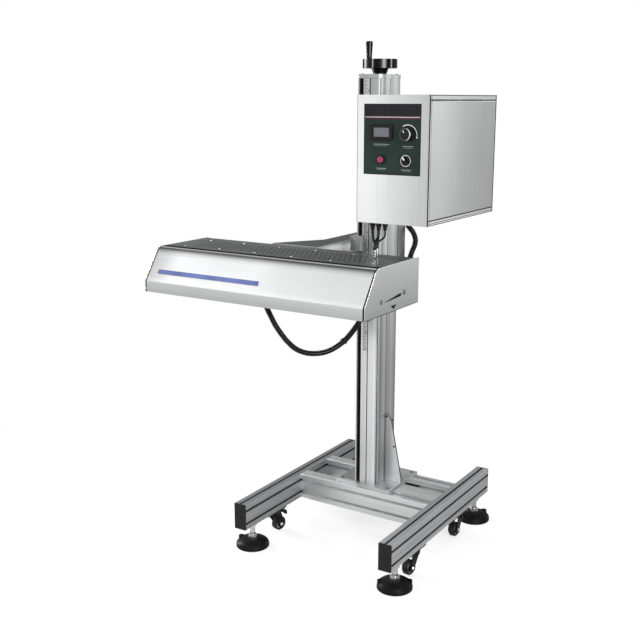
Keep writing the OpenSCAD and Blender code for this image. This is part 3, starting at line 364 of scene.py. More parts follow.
NODE_MATERIALS = {
    aluminium_y: ["right_rail"],
    aluminium_left: ["left_rail"],
    lit_aluminium_x: ["cross_beams"],
    shaded_aluminium_z: ["carriage_rear_block"],
    column_front: ["column", "column_top_plate"],
    front_steel: ["head_front_cover"],
    panel_steel: ["box_front_panel"],
    side_steel: ["box_side_panels"],
    steel_x: ["head_back_panel", "box_bracket"],
    plate_steel: ["column_foot_plate"],
    arm_steel: ["head_arm"],
    grey_sheet: ["carriage_front_bracket"],
    end_steel: ["head_end_plates"],
    edge_steel: ["box_top_cover", "box_bottom_tray"],
    steel_z: ["box_rear_panel", "carriage_side_plate"],
    gusset_steel: ["column_gusset"],
    fitting_steel: ["head_cable_fittings"],
    machined: ["lead_screw"],
    zinc: ["foot_lock_nuts", "control_bezels"],
    bronze: ["screw_bearings", "lead_nut"],
    copper: ["induction_coil"],
    dark_sheet: ["head_top_cover"],
    wheel_gloss: ["handwheel", "crank_handle"],
    black_satin: ["rail_end_caps", "caster_plates", "cable_glands", "power_knob", "mode_selector",
                  "meter_bezel"],
    ferrite: ["ferrite_cores"],
    insulating: ["head_bottom_plate"],
    film_green: ["control_overlay"],
    red_plastic: ["red_button"],
    display: ["meter_window"],
    scale_metal: ["height_scale"],
    nylon: ["guide_pads"],
    heat_sink: ["power_module"],
}
CORNERS = ["front_left", "front_right", "rear_left", "rear_right"]


def dress(node, material):
    NODES[node].data.materials.clear()
    NODES[node].data.materials.append(material)


def second_material(node, material, chosen):
    """Gives the node's faces for which chosen(centre, normal) holds a second material."""
    mesh = NODES[node].data
    mesh.materials.append(material)
    for face in mesh.polygons:
        if chosen(face.center, face.normal):
            face.material_index = len(mesh.materials) - 1


def within(node, margin):
    """Chooses the faces that lie deeper in a node's box than a margin, such as those of its slots."""
    low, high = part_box(node)
    return lambda c, n: all(low[k] + margin < c[k] < high[k] - margin for k in range(3))


for material, names in NODE_MATERIALS.items():
    for name in names:
        dress(name, material)
for corner in CORNERS:
    dress(corner + "_caster_fork", black_gloss)
    dress(corner + "_caster_wheel", tread)
    dress(corner + "_foot", pad_rubber)


# Faces of a node that look different from the rest of it, many of them with painted light or shade

# How closely a face's normal follows an axis, as a cosine
FLAT = 0.9995
PLUMB = 0.99
BENT = 0.93
FACING = 0.9
SLANTED = 0.2

FLANGE = HEAD_HIGH.z - 8 * MM
STEM_FOOT = 26.5 * MM
BUTTON_RING_RIGHT = at(200, 0, 0).x
SLOT_MARGIN = 1.6 * MM
CORNER_R = 3.2 * MM
FLUSH = 0.1 * MM
BEAM_LOW, BEAM_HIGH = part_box("cross_beams")
BEAM_WIDTH = 40 * MM
BEAM_FACES = [BEAM_LOW.y, BEAM_LOW.y + BEAM_WIDTH, BEAM_HIGH.y - BEAM_WIDTH, BEAM_HIGH.y]


def on_column_corner(c, n):
    """Chooses the faces of the column's front right corner, without the flat faces beside it."""
    from_right, from_front = COLUMN_HIGH.x - c.x, c.y - COLUMN_LOW.y
    near = from_right < CORNER_R and FLUSH < from_front < CORNER_R
    return near and (from_right > FLUSH or n.x < FACING)


second_material("head_front_cover", lip_steel_shaded, lambda c, n: n.y < -PLUMB and c.z < LIP_TOP)
# The bend's upper faces keep plain steel, so that a light line stands between the painted dark band and the
# black seam.
second_material("head_front_cover", steel_x, lambda c, n: n.z > BENT and c.z > FLANGE)
second_material("head_front_cover", ink_black, lambda c, n: n.z > FLAT and c.z > FLANGE)
# Painted shade on the back panel's top faces.
second_material("head_back_panel", painted_shade_steel, lambda c, n: n.z > FACING)
for node in ("column", "column_top_plate"):
    second_material(node, column_side, lambda c, n: n.x > FACING)
second_material("screw_bearings", black_satin, lambda c, n: c.z > COLUMN_HIGH.z)
# Painted highlight along the top edges of the end plates.
second_material("head_end_plates", painted_light_sheet, lambda c, n: n.z > FACING and c.z > FLANGE)
# Painted shade along the gusset's sloped edge.
second_material("column_gusset", painted_shade_steel, lambda c, n: n.x > SLANTED)
# Painted light on the arm's inner web below its flange, and painted shade on its top faces.
second_material("head_arm", painted_light_sheet, lambda c, n: n.x > SLANTED and c.z < FLANGE)
second_material("head_arm", painted_shade_steel, lambda c, n: n.z > FACING)
second_material("control_bezels", black_satin, lambda c, n: c.x < BUTTON_RING_RIGHT)
for corner in CORNERS:
    second_material(corner + "_foot", stem_zinc, lambda c, n: c.z > STEM_FOOT)
# Painted highlight on the column's front right corner, brightest at the top.
second_material("column", column_corner_highlight, on_column_corner)
# Painted shade inside the slots of the rails, the column and the beams, and inside the hollow column.
for node, shadow in (("left_rail", slot_shadow), ("right_rail", slot_shadow), ("column", column_hollow_shade)):
    second_material(node, shadow, within(node, SLOT_MARGIN))
in_beams = within("cross_beams", SLOT_MARGIN)
second_material("cross_beams", beam_shadow,
                lambda c, n: in_beams(c, n) and min(abs(c.y - y) for y in BEAM_FACES) > SLOT_MARGIN)


# Mesh building

def finish_mesh(name, work, material, body, smooth_angle=35):
    """Makes an object of a bmesh, with smooth shading up to an angle, and rides it on its body."""
    mesh = bpy.data.meshes.new(name)
    bmesh.ops.recalc_face_normals(work, faces=work.faces)
    work.to_mesh(mesh)
    work.free()
    for face in mesh.polygons:
        face.use_smooth = True
    mesh.set_sharp_from_angle(angle=math.radians(smooth_angle))
    piece = add_object(name, mesh)
    for each in material if isinstance(material, list) else [material]:
        mesh.materials.append(each)
    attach(piece, body)
    return piece


def facing(place, normal):
    """A matrix that puts local +Z along a normal at a place, with local X level where it can be."""
    up = Vector((0, 0, 1)) if abs(normal.z) < FACING else Vector((0, 1, 0))
    x_axis = up.cross(normal).normalized()
    y_axis = normal.cross(x_axis)
    return Matrix.Translation(place) @ Matrix((x_axis, y_axis, normal)).transposed().to_4x4()


def turned(degrees):
    return Matrix.Rotation(math.radians(degrees), 4, "Z")


def raised(height):
    return Matrix.Translation((0, 0, height * MM))


def circle(sides):
    """The cosine and sine of each of the equal steps around a circle."""
    angles = [2 * math.pi * k / sides for k in range(sides)]
    return [(math.cos(a), math.sin(a)) for a in angles]


def lathe(work, profile, matrix, sides=24):
    """Revolves a profile of (radius, height) in millimetres about local Z."""
    rings = []
    for radius, height in profile:
        around = circle(sides) if radius else [(0, 0)]
        rings.append([work.verts.new(matrix @ (Vector((radius * c, radius * s, height)) * MM))
                      for c, s in around])
    for low, high in zip(rings, rings[1:]):
        for k in range(sides):
            e = k + 1
            corners = [low[k % len(low)], low[e % len(low)], high[e % len(high)], high[k % len(high)]]
            corners = list(dict.fromkeys(corners))
            if len(corners) > 2:
                work.faces.new(corners)


def slab(work, outline, height, matrix, index=0):
    """Raises an outline of (x, y) in millimetres to a height along local Z, closed on both sides."""
    low = [work.verts.new(matrix @ Vector((x * MM, y * MM, 0))) for x, y in outline]
    high = [work.verts.new(matrix @ Vector((x * MM, y * MM, height * MM))) for x, y in outline]
    made = [work.faces.new(list(reversed(low))), work.faces.new(high)]
    for k in range(len(outline)):
        e = (k + 1) % len(outline)
        made.append(work.faces.new([low[k], low[e], high[e], high[k]]))
    for face in made:
        face.material_index = index


def rectangle(x0, y0, x1, y1):
    return [(x0, y0), (x1, y0), (x1, y1), (x0, y1)]


def socket_screw(work, matrix, head_d):
    """A cap screw's head with its socket."""
    radius, height, chamfer = head_d / 2, head_d * 0.55, 0.6
    socket_r, socket_floor = radius * 0.52, height * 0.4
    lathe(work, [(0, 0), (radius, 0), (radius, height - chamfer), (radius - chamfer, height),
                 (socket_r, height), (socket_r, socket_floor), (0, socket_floor)], matrix, 20)


def dome_screw(work, matrix, head_d):
    """A low domed screw's head with its socket."""
    radius, height = head_d / 2, head_d * 0.28
    socket_r, socket_floor = radius * 0.45, height * 0.4
    lathe(work, [(0, 0), (radius, 0), (radius, height * 0.3), (radius * 0.8, height * 0.8),
                 (socket_r, height), (socket_r, socket_floor), (0, socket_floor)], matrix, 18)


def hex_bolt(work, matrix, across):
    """A hexagon head on its washer."""
    corner, shoulder, height = across / 2 / math.cos(math.radians(30)), across * 0.5, across * 0.58
    washer_r, washer = across * 0.72, 1.6
    lathe(work, [(0, 0), (washer_r, 0), (washer_r, washer), (0, washer)], matrix)
    lathe(work, [(0, 0), (corner, 0), (corner, shoulder), (corner * 0.86, height), (0, height)],
          matrix @ raised(washer), 6)


# Cables and conduit, along the same routes as their solids

CABLE_ROUTES = {
    "cable_left": [(150, -250, 989), (150, -250, 984), (150, -250, 979), (156, -259, 969),
                   (170, -277, 961), (177, -286, 952), (177, -286, 947), (177, -286, 942)],
    "cable_middle": [(168, -250, 989), (168, -250, 984), (168, -250, 979), (168.5, -254, 969),
                     (170, -265, 961), (171, -270, 952), (171, -270, 947), (171, -270, 942)],
    "cable_right": [(187, -250, 989), (187, -250, 984), (187, -250, 979), (183, -250.5, 969),
                    (172, -253, 961), (167, -254, 952), (167, -254, 947), (167, -254, 942)],
}
CABLE_DIAMETERS = {"cable_left": 8, "cable_middle": 8, "cable_right": 5}
CONDUIT_ROUTE = [
    (-207, -246, 782), (-207, -246, 764), (-197, -244, 737), (-185, -242, 714), (-175, -237, 691),
    (-162, -230, 668), (-145, -220, 642), (-123, -207, 619), (-99, -190, 607), (-77, -171, 604),
    (-57, -149, 607), (-40, -127, 617), (-24, -102, 634), (-15, -76, 654), (-9, -54, 674),
    (-3, -41, 692), (7, -35, 710), (24, -33, 730), (44, -26, 750), (58, -6, 768),
    (63, 28, 784), (63, 62, 796), (61, 94, 808), (57, 124, 823), (53, 150, 844),
    (54, 165, 868), (61, 169, 889), (63, 168, 908), (55, 167, 928), (40, 167, 944),
    (28, 168, 962), (25, 168, 984), (31, 167, 1006), (44, 162, 1024), (56, 151, 1036),
    (66, 137, 1043), (78, 127, 1045), (84, 126, 1045), (91, 126, 1045)]
CONDUIT_D, CONDUIT_RIB, CONDUIT_PITCH = 17, 1.3, 4
CABLE_STEP = 2
CURVE_STEPS = 24
START_SIDE = Vector((0.3, 0.9, 0.31))


def smooth_path(points, step):
    """Points a step apart on a smooth curve through the route's points."""
    dense = []
    count = len(points)
    for i in range(count - 1):
        a, b = points[max(i - 1, 0)], points[i]
        c, d = points[i + 1], points[min(i + 2, count - 1)]
        for k in range(CURVE_STEPS):
            t = k / CURVE_STEPS
            dense.append(0.5 * (2 * b + (c - a) * t + (2 * a - 5 * b + 4 * c - d) * t * t
                                + (3 * b - a - 3 * c + d) * t * t * t))
    dense.append(points[-1])
    even, carry = [dense[0]], 0.0
    for p, q in zip(dense, dense[1:]):
        length = (q - p).length
        while carry + length >= step:
            share = (step - carry) / length
            p = p.lerp(q, share)
            even.append(p.copy())
            length = (q - p).length
            carry = 0.0
        carry += length
    if (even[-1] - dense[-1]).length < step / 2:
        even[-1] = dense[-1]
    else:
        even.append(dense[-1])
    return even


def sweep(work, path, radius_at, sides):
    """A closed tube along a path, with the radius that radius_at(i) gives at each point."""
    normal = None
    rings = []
    for i, point in enumerate(path):
        ahead = (path[min(i + 1, len(path) - 1)] - path[max(i - 1, 0)]).normalized()
        if normal is None:
            normal = ahead.cross(START_SIDE).normalized()
        normal = (normal - ahead * normal.dot(ahead)).normalized()
        side = ahead.cross(normal)
        radius = radius_at(i)
        rings.append([work.verts.new(point + radius * (normal * c + side * s)) for c, s in circle(sides)])
    for low, high in zip(rings, rings[1:]):
        for k in range(sides):
            e = (k + 1) % sides
            work.faces.new([low[k], low[e], high[e], high[k]])
    work.faces.new(list(reversed(rings[0])))
    work.faces.new(rings[-1])


def add_cable(node):
    path = smooth_path([at(*p) for p in CABLE_ROUTES[node]], CABLE_STEP * MM)
    radius = CABLE_DIAMETERS[node] / 2 * MM
    work = bmesh.new()
    sweep(work, path, lambda i: radius, 16)
    piece = finish_mesh(node + "_jacket", work, jacket, "lift", 60)
    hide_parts(node)


def add_conduit():
    crest, root = CONDUIT_D / 2 * MM, (CONDUIT_D / 2 - CONDUIT_RIB) * MM
    ribs = [crest, crest, root, root]
    path = smooth_path([at(*p) for p in CONDUIT_ROUTE], CONDUIT_PITCH / len(ribs) * MM)
    work = bmesh.new()
    sweep(work, path, lambda i: ribs[i % len(ribs)], 18)
    piece = finish_mesh("conduit_corrugated", work, jacket, "lift", 50)
    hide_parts("conduit")


for cable in CABLE_ROUTES:
    add_cable(cable)
add_conduit()


# Printed marks and seams

OVERLAY_LOW, OVERLAY_HIGH = own_box("control_overlay")
FACE = OVERLAY_LOW.y
PRINT = 0.12
TO_FRONT = Vector((0, -1, 0))
TO_RIGHT = Vector((1, 0, 0))
TO_LEFT = Vector((-1, 0, 0))
TO_BACK = Vector((0, 1, 0))
TO_TOP = Vector((0, 0, 1))
TO_FLOOR = Vector((0, 0, -1))


def on_front(x, z, y=FACE):
    """Local X to the right and local Y up, on a face towards the operator."""
    return facing(at(x, y, z), TO_FRONT)


STROKES = {
    "0": "abcdef", "1": "bc", "2": "abged", "3": "abgcd", "4": "fgbc", "5": "afgcd", "6": "afgedc",
    "7": "abc", "8": "abcdefg", "9": "abcdfg"}


def number(work, text, matrix, size):
    """Plain numerals of straight strokes, with the first one's lower left corner at the origin."""
    w, h, t, pitch = size * 0.5, size, size * 0.17, size * 0.72
    bars = {"a": (0, h - t, w, h), "b": (w - t, h / 2, w, h), "c": (w - t, 0, w, h / 2), "d": (0, 0, w, t),
            "e": (0, 0, t, h / 2), "f": (0, h / 2, t, h), "g": (0, h / 2 - t / 2, w, h / 2 + t / 2)}
    for k, mark in enumerate(text):
        for stroke in STROKES[mark]:
            x0, y0, x1, y1 = bars[stroke]
            slab(work, rectangle(k * pitch + x0, y0, k * pitch + x1, y1), PRINT, matrix)


def band(start, end, steps, radii):
    """A band along an arc in degrees, between the outer and inner radius that radii(share) gives."""
    outer, inner = [], []
    for k in range(steps + 1):
        angle = math.radians(start + (end - start) * k / steps)
        for edge, radius in zip((outer, inner), radii(k / steps)):
            edge.append((radius * math.cos(angle), radius * math.sin(angle)))
    return outer + inner[::-1]


ARC_R, ARC_THICK, ARC_THIN = 26, 1.7, 0.9
# Bright crescent on the knob's face: a painted highlight of its rounded edge
CRESCENT_R, CRESCENT_THICK, CRESCENT_TIP = 15.1, 2.6, 0.05


def arc_radii(share):
    """The arc around the knob gets thinner towards its arrow."""
    half = (ARC_THICK + (ARC_THIN - ARC_THICK) * share) / 2
    return ARC_R + half, ARC_R - half


def highlight_crescent_radii(share):
    """The knob's painted highlight is a crescent, thickest in its middle."""
    return CRESCENT_R, CRESCENT_R - CRESCENT_TIP - CRESCENT_THICK * (1 - (2 * share - 1) ** 2)


HEADER, BORDER = 30, 2.5
# The two lines under the header, as their lower and upper edges below the overlay's top
HEADER_LINES = ((34.2, 31.4), (37.4, 35.2))
ARC, ARC_CENTRE = (122, -8, 28, arc_radii), (258, 1233)
ARROW, ARROW_PLACE = [(-2.2, 0), (2.2, 0), (0.3, -4)], (283.5, 1230)
# Each caption's centre and half its length
CAPTIONS = ((183, 1210, 22), (259, 1206, 15), (184, 1150, 14), (256, 1148, 14))


def add_overlay_print():
    """The overlay's header, border and lines, and plain marks where its captions are."""
    left, right, low, high = OVERLAY_LOW.x, OVERLAY_HIGH.x, OVERLAY_LOW.z, OVERLAY_HIGH.z
    header, inner_left, inner_right = high - HEADER, left + BORDER, right - BORDER
    origin = on_front(0, 0)
    work = bmesh.new()
    for bar in ((left, header, right, high), (left, low, right, low + BORDER),
                (left, low, inner_left, header), (inner_right, low, right, header)):
        slab(work, rectangle(*bar), PRINT, origin)
    for index, (lower, upper) in enumerate(HEADER_LINES, 1):
        slab(work, rectangle(inner_left, high - lower, inner_right, high - upper), PRINT * 1.5, origin, index)
    finish_mesh("overlay_print", work, [film_black, film_pink, film_red], "lift")

    work = bmesh.new()
    slab(work, band(*ARC), PRINT, on_front(*ARC_CENTRE))
    slab(work, ARROW, PRINT, on_front(*ARROW_PLACE))
    for x, z, half in CAPTIONS:
        slab(work, rectangle(-half, -0.4, half, 0.6), PRINT, on_front(x, z), 1)
        slab(work, rectangle(-0.8 * half, -4, 0.8 * half, -3.5), PRINT, on_front(x, z), 1)
    finish_mesh("overlay_marks", work, [ink_white, ink_grey], "lift")


KNOB, KNOB_FACE, KNOB_ANGLE = (260, 1236), FACE - 18.3, 35
SELECTOR, SELECTOR_FACE, SELECTOR_ANGLE = (256, 1171), FACE - 10.8, 125
COLLAR_FACE, COLLAR_BANDS = FACE - 5, ((11.4, 12.9), (14.5, 16.1))
INLAY, HIGHLIGHT_CRESCENT_ARC = 0.3, (-85, 85, 24, highlight_crescent_radii)


def add_control_marks():
    """The knob's ring, painted highlight crescent and pointer, and the selector's dark bands and pointer."""
    face = on_front(*KNOB, KNOB_FACE)
    work = bmesh.new()
    lathe(work, [(15.4, 0), (15.4, 0.5), (14.9, 1.0), (13, 1.0), (12.6, 0)], face, 40)
    finish_mesh("knob_ring", work, dark_chrome, "knob")
    # A zinc crescent on the right of the knob's face, a painted highlight
    work = bmesh.new()
    slab(work, band(*HIGHLIGHT_CRESCENT_ARC), INLAY, face @ raised(1))
    finish_mesh("knob_highlight_crescent", work, zinc, "knob")
    work = bmesh.new()
    slab(work, rectangle(-0.8, 5, 0.8, 11.8), INLAY, face @ turned(KNOB_ANGLE))
    finish_mesh("knob_pointer", work, ink_white, "knob")

    face = on_front(*SELECTOR, COLLAR_FACE)
    work = bmesh.new()
    for inner, outer in COLLAR_BANDS:
        lathe(work, [(inner, 0), (inner, 0.25), (outer, 0.25), (outer, 0)], face, 36)
    finish_mesh("selector_collar", work, black_satin, "lift")

    blade = on_front(*SELECTOR, SELECTOR_FACE) @ turned(SELECTOR_ANGLE)
    work = bmesh.new()
    slab(work, rectangle(2, -1.5, 10.2, 1.5), INLAY, blade)
    finish_mesh("selector_pointer", work, ink_white, "selector")


END_LOW, END_HIGH = own_box("head_end_plates")
HEAD_FRONT, HEAD_BOTTOM, HEAD_TOP = END_LOW.y, END_LOW.z, END_HIGH.z
KNEE = HEAD_BOTTOM + LIP
SLOPE_BACK, BEND_R, BEND_STEPS, BEND_FLAT = 60, 22, 8, 11
COVER_INSET, STRIPE_RAISE = 1.5, 0.7
STRIPE = (-395, 24.5, -56, 37)
SCALE_WEDGE = [(-397, 833.6), (-315, 837), (-315, 845.4), (-397, 835)]
SCALE_MARKER = [(-369, 820), (-353.5, 809.5), (-339, 820)]
SCALE_NUMBERS = {"10": (-426, 832), "60": (-305, 838)}


def add_head_print():
    """The stripe on the head's slope, and the scale and the dark lower edge on its right end plate."""
    slope = Vector((0, SLOPE_BACK, HEAD_TOP - KNEE)).normalized()
    outward = TO_RIGHT.cross(slope)
    knee = at(0, HEAD_FRONT + COVER_INSET, KNEE) + outward * STRIPE_RAISE * MM
    flat = Matrix((TO_RIGHT, slope, outward)).transposed().to_4x4()
    work = bmesh.new()
    slab(work, rectangle(*STRIPE), PRINT, Matrix.Translation(knee) @ flat)
    finish_mesh("head_stripe", work, ink_blue, "lift")

    end = facing(at(END_HIGH.x, 0, 0), TO_RIGHT)
    work = bmesh.new()
    slab(work, SCALE_WEDGE, PRINT, end)
    slab(work, SCALE_MARKER, PRINT, end)
    for text, place in SCALE_NUMBERS.items():
        number(work, text, facing(at(END_HIGH.x, *place), TO_RIGHT), 11)
    slab(work, rectangle(HEAD_FRONT + 1, HEAD_BOTTOM, END_HIGH.y - 1, HEAD_BOTTOM + 1.4), PRINT, end)
    finish_mesh("head_scale", work, ink_black, "lift")


STRIP_LOW, STRIP_HIGH = own_box("height_scale")
TICK_PITCH, FIRST_TICK, TICK_INSET = 5, 4, 0.6
LONG_TICK, SHORT_TICK = (6.5, 1.6), (3.0, 0.8)
TICKS_PER_NUMBER = 10


def add_scale_marks():
    """Ticks on the column's height scale, long and short in turn, and a number at every tenth."""
    left = STRIP_LOW.x + TICK_INSET
    work = bmesh.new()
    for k in range(int(STRIP_HIGH.z - STRIP_LOW.z) // TICK_PITCH):
        z = STRIP_LOW.z + FIRST_TICK + TICK_PITCH * k
        length, thick = SHORT_TICK if k % 2 else LONG_TICK
        slab(work, rectangle(left, z, left + length, z + thick), PRINT, on_front(0, 0, STRIP_LOW.y))
        if k % TICKS_PER_NUMBER == 0:
            number(work, "%02d" % (k // 2 % 100), on_front(left + 7, z + 2, STRIP_LOW.y), 4)
    finish_mesh("scale_marks", work, ink_black, "base")


PANEL_LOW, PANEL_HIGH = own_box("box_front_panel")
BOX_BOTTOM, BOX_TOP = PANEL_LOW.z, PANEL_HIGH.z
BOX_EDGE, SEAM = 12, 2.8
SEAM_SPAN = (-262, 143.5)
TOP_FOLD = BOX_TOP - BOX_EDGE
SEAMS = (BOX_BOTTOM + BOX_EDGE, TOP_FOLD - SEAM)
RIVET, RIVET_Y = [(0, 0), (2.4, 0), (2.0, 0.8), (0, 1.0)], -261
# Level lines as (low, high) and upright lines as (front, back), on both sides of the box: the dark ones are
# seam lines and painted shade along bends and edges, the bright ones painted highlights on folded edges
DARK_LEVELS = ((BOX_BOTTOM + 0.5, BOX_BOTTOM + 2), (BOX_BOTTOM + 5.4, BOX_BOTTOM + 6.5),
               (BOX_TOP - 2.6, BOX_TOP - 1))
HIGHLIGHT_LEVELS = ((TOP_FOLD + 0.2, TOP_FOLD + 2.4), (TOP_FOLD - SEAM - 3, TOP_FOLD - SEAM - 0.4))
DARK_UPRIGHTS = ((-270.15, -265.6), (-260.2, -259), (140.5, 145.6))
HIGHLIGHT_UPRIGHTS = ((-265.2, -260.6),)


def side_strip(work, inside, front_and_back, low_and_high):
    """A strip that stands out of a side of the box, from a plane 1 mm inside it."""
    left, right = sorted(inside.col[0].y * y for y in front_and_back)
    slab(work, rectangle(left, low_and_high[0], right, low_and_high[1]), 1 + PRINT, inside)


def add_box_seams():
    """Dark lines in the seams of the box and painted shade along its bends and edges, and painted highlights
    on the folded edges beside them.
    """
    seams, fold_highlights = bmesh.new(), bmesh.new()
    for x, normal in ((PANEL_HIGH.x, TO_RIGHT), (PANEL_LOW.x, TO_LEFT)):
        inside = facing(at(x - normal.x, 0, 0), normal)
        for z in SEAMS:
            side_strip(seams, inside, SEAM_SPAN, (z, z + SEAM))
            lathe(seams, RIVET, facing(at(x, RIVET_Y, z + SEAM / 2), normal), 16)
        for work, level_lines, upright_lines in ((seams, DARK_LEVELS, DARK_UPRIGHTS),
                                                 (fold_highlights, HIGHLIGHT_LEVELS, HIGHLIGHT_UPRIGHTS)):
            for line in level_lines:
                side_strip(work, inside, SEAM_SPAN, line)
            for line in upright_lines:
                side_strip(work, inside, line, (BOX_BOTTOM, BOX_TOP))
    finish_mesh("box_seams_and_shade", seams, ink_black, "lift")
    finish_mesh("box_fold_highlights", fold_highlights, painted_edge_highlight, "lift")


def head_profile(inset):
    """The head's front outline as (Y, Z), from its lower edge to behind the bend, moved in by an inset."""
    slope = Vector((SLOPE_BACK, HEAD_TOP - KNEE)).normalized()
    inward = Vector((slope.y, -slope.x))
    foot = Vector((HEAD_FRONT, KNEE)) + inward * inset
    knee = foot + slope * ((HEAD_FRONT + inset - foot.x) / slope.x)
    low = math.atan2(-inward.y, -inward.x)
    bend_y = HEAD_FRONT + SLOPE_BACK + BEND_R * math.tan((math.pi / 2 - math.acos(slope.y)) / 2)
    points = [(HEAD_FRONT + inset, HEAD_BOTTOM), tuple(knee)]
    for k in range(BEND_STEPS + 1):
        angle = low + (math.pi / 2 - low) * k / BEND_STEPS
        points.append((bend_y + (BEND_R - inset) * math.cos(angle),
                       HEAD_TOP - BEND_R + (BEND_R - inset) * math.sin(angle)))
    return points + [(bend_y + BEND_FLAT, HEAD_TOP - inset)]


COVER_LOW, COVER_HIGH = own_box("head_top_cover")
SEAL_FRONT, SEAL_BACK = -411.8, -400
LEFT_JOINT, RIGHT_JOINT = 2, 4.8


def add_head_seams():
    """The black seal in front of the dark top cover, and the joints beside the end plates."""
    work = bmesh.new()
    slab(work, rectangle(COVER_LOW.x + 0.5, SEAL_FRONT, COVER_HIGH.x - 0.5, SEAL_BACK), 0.5,
         facing(at(0, 0, COVER_HIGH.z), TO_TOP))
    finish_mesh("head_top_seal", work, ink_black, "lift")

    outline = head_profile(1.1) + head_profile(1.7)[::-1]
    for name, x, wide in (("head_left_joint", COVER_LOW.x, LEFT_JOINT),
                          ("head_right_joint", COVER_HIGH.x - RIGHT_JOINT, RIGHT_JOINT)):
        work = bmesh.new()
        slab(work, outline, wide, facing(at(x, 0, 0), TO_RIGHT))
        finish_mesh(name, work, ink_black, "lift")


add_overlay_print()
add_control_marks()
add_head_print()
add_scale_marks()
add_box_seams()
add_head_seams()


# Fasteners and small fittings

def add_fasteners(name, kind, size, node, normal, places, body, material=zinc, sunk=0.0):
    """Equal screws on a face of a node's box, or sunk below it, placed on the face's two axes."""
    axis = [abs(part) for part in normal].index(1)
    low, high = own_box(node)
    seat = (high if sum(normal) > 0 else low)[axis] - sunk * normal[axis]
    work = bmesh.new()
    for place in places:
        kind(work, facing(at(*place[:axis], seat, *place[axis:]), normal), size)
    finish_mesh(name, work, material, body)


RAIL_X = 244
CAP_SCREWS = [(-RAIL_X, 115), (RAIL_X, 115)]
HEAD_SCREW_X = [-382 + 120 * k for k in range(5)]
CASTER_BOLTS = [(side * RAIL_X + dx, y + dy)
                for side in (-1, 1) for y in (-160, 138) for dx in (-13, 13) for dy in (-40, 40)]

add_fasteners("foot_plate_bolts", dome_screw, 10, "column_foot_plate", TO_TOP, product((-80, 80), (-14, 140)),
              "base", dark_chrome)
add_fasteners("top_plate_screws", dome_screw, 8, "column_top_plate", TO_TOP, product((-28, 28), (-2, 96)),
              "base", dark_chrome)
add_fasteners("head_top_screws", dome_screw, 5.5, "head_top_cover", TO_TOP,
              product(HEAD_SCREW_X, (-258, -374)), "lift")
add_fasteners("gusset_screws", dome_screw, 7, "column_gusset", TO_FRONT, [(42, 374), (69, 281)],
              "base", black_satin)
add_fasteners("column_screw", dome_screw, 7, "column", TO_RIGHT, [(90, 347)], "base", black_satin)
add_fasteners("end_cap_screws", dome_screw, 6, "rail_end_caps", TO_FRONT, CAP_SCREWS, "base", black_satin)
add_fasteners("rear_cap_screws", dome_screw, 6, "rail_end_caps", TO_BACK, CAP_SCREWS, "base", black_satin)
add_fasteners("rear_panel_screws", dome_screw, 7, "box_rear_panel", TO_BACK,
              product((121, 309), (1017, 1170, 1324)), "lift")
add_fasteners("rear_block_screws", socket_screw, 11, "carriage_rear_block", TO_BACK,
              product((-38, 24), (890, 1060, 1230)), "lift")
add_fasteners("side_plate_screws", socket_screw, 10, "carriage_side_plate", TO_LEFT,
              product((28, 95), (960, 1035, 1110)), "lift")
add_fasteners("caster_plate_bolts", hex_bolt, 8, "caster_plates", TO_FLOOR, CASTER_BOLTS, "base", sunk=5.7)
add_fasteners("wheel_nut", hex_bolt, 16, "lead_screw", TO_TOP, [(0, 47)], "drive_wheel")

WHEEL_TURNS = {"front_left": 255, "front_right": 86, "rear_left": 170, "rear_right": 93}
WHEEL_RING = [(14.5, 0), (14.5, 0.5), (13.4, 0.9), (10.6, 0.9), (10, 0.4), (10, 0)]
WHEEL_HALF, FORK_HALF = 9.0 * MM, 14.5 * MM


def add_caster_rings():
    """Bright bearing rings on both faces of each wheel, and the axle's heads outside the fork."""
    for corner, turn in WHEEL_TURNS.items():
        low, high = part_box(corner + "_caster_wheel")
        centre = (low + high) / 2
        axle = Vector((-math.sin(math.radians(turn)), math.cos(math.radians(turn)), 0))
        rings, heads = bmesh.new(), bmesh.new()
        for side in (axle, -axle):
            lathe(rings, WHEEL_RING, facing(centre + side * WHEEL_HALF, side), 32)
            dome_screw(heads, facing(centre + side * FORK_HALF, side), 11)
        finish_mesh(corner + "_wheel_rings", rings, zinc, corner + "_wheel")
        finish_mesh(corner + "_axle_heads", heads, zinc, corner + "_caster")


TIE_POINT = 12


def add_cable_tie():
    """A cable tie around the conduit, with its head and cut tail."""
    before, place, after = (at(*CONDUIT_ROUTE[k]) for k in (TIE_POINT - 1, TIE_POINT, TIE_POINT + 1))
    matrix = facing(place, (after - before).normalized())
    inner, outer, half = CONDUIT_D / 2 + 0.1, CONDUIT_D / 2 + 1.4, 2.4
    work = bmesh.new()
    lathe(work, [(inner, -half), (outer, -half), (outer, half), (inner, half)], matrix)
    slab(work, rectangle(outer - 1, -3, outer + 4, 3), 5, matrix @ raised(-2.5))
    slab(work, rectangle(outer + 2, -0.8, outer + 10, 0.8), 4, matrix @ raised(-2))
    finish_mesh("cable_tie", work, black_satin, "lift")


SLOT_SHADE_STRIP, SLOT_SHADE_STRIP_Y = (55, 131.1, 120, 138.9), 122.8


def add_slot_cover():
    """A short black strip in the mouth of the rear beam's front slot, beside the foot plate: painted shade
    where the slot lies in shadow.
    """
    work = bmesh.new()
    slab(work, rectangle(*SLOT_SHADE_STRIP), 2.6, on_front(0, 0, SLOT_SHADE_STRIP_Y))
    finish_mesh("slot_shade_strip", work, black_satin, "base")


JAM_NUT = [(8.2, 30), (11.5, 30), (12.4, 31), (12.4, 37), (11.5, 38), (8.2, 38)]
NUT_TURN = 12
# Heights, width and radii of the dark rings of painted shade on the thread
GROOVES, GROOVE, STEM_R, GROOVE_R = (28, 39.4, 42), 1.1, 8.05, 8.4


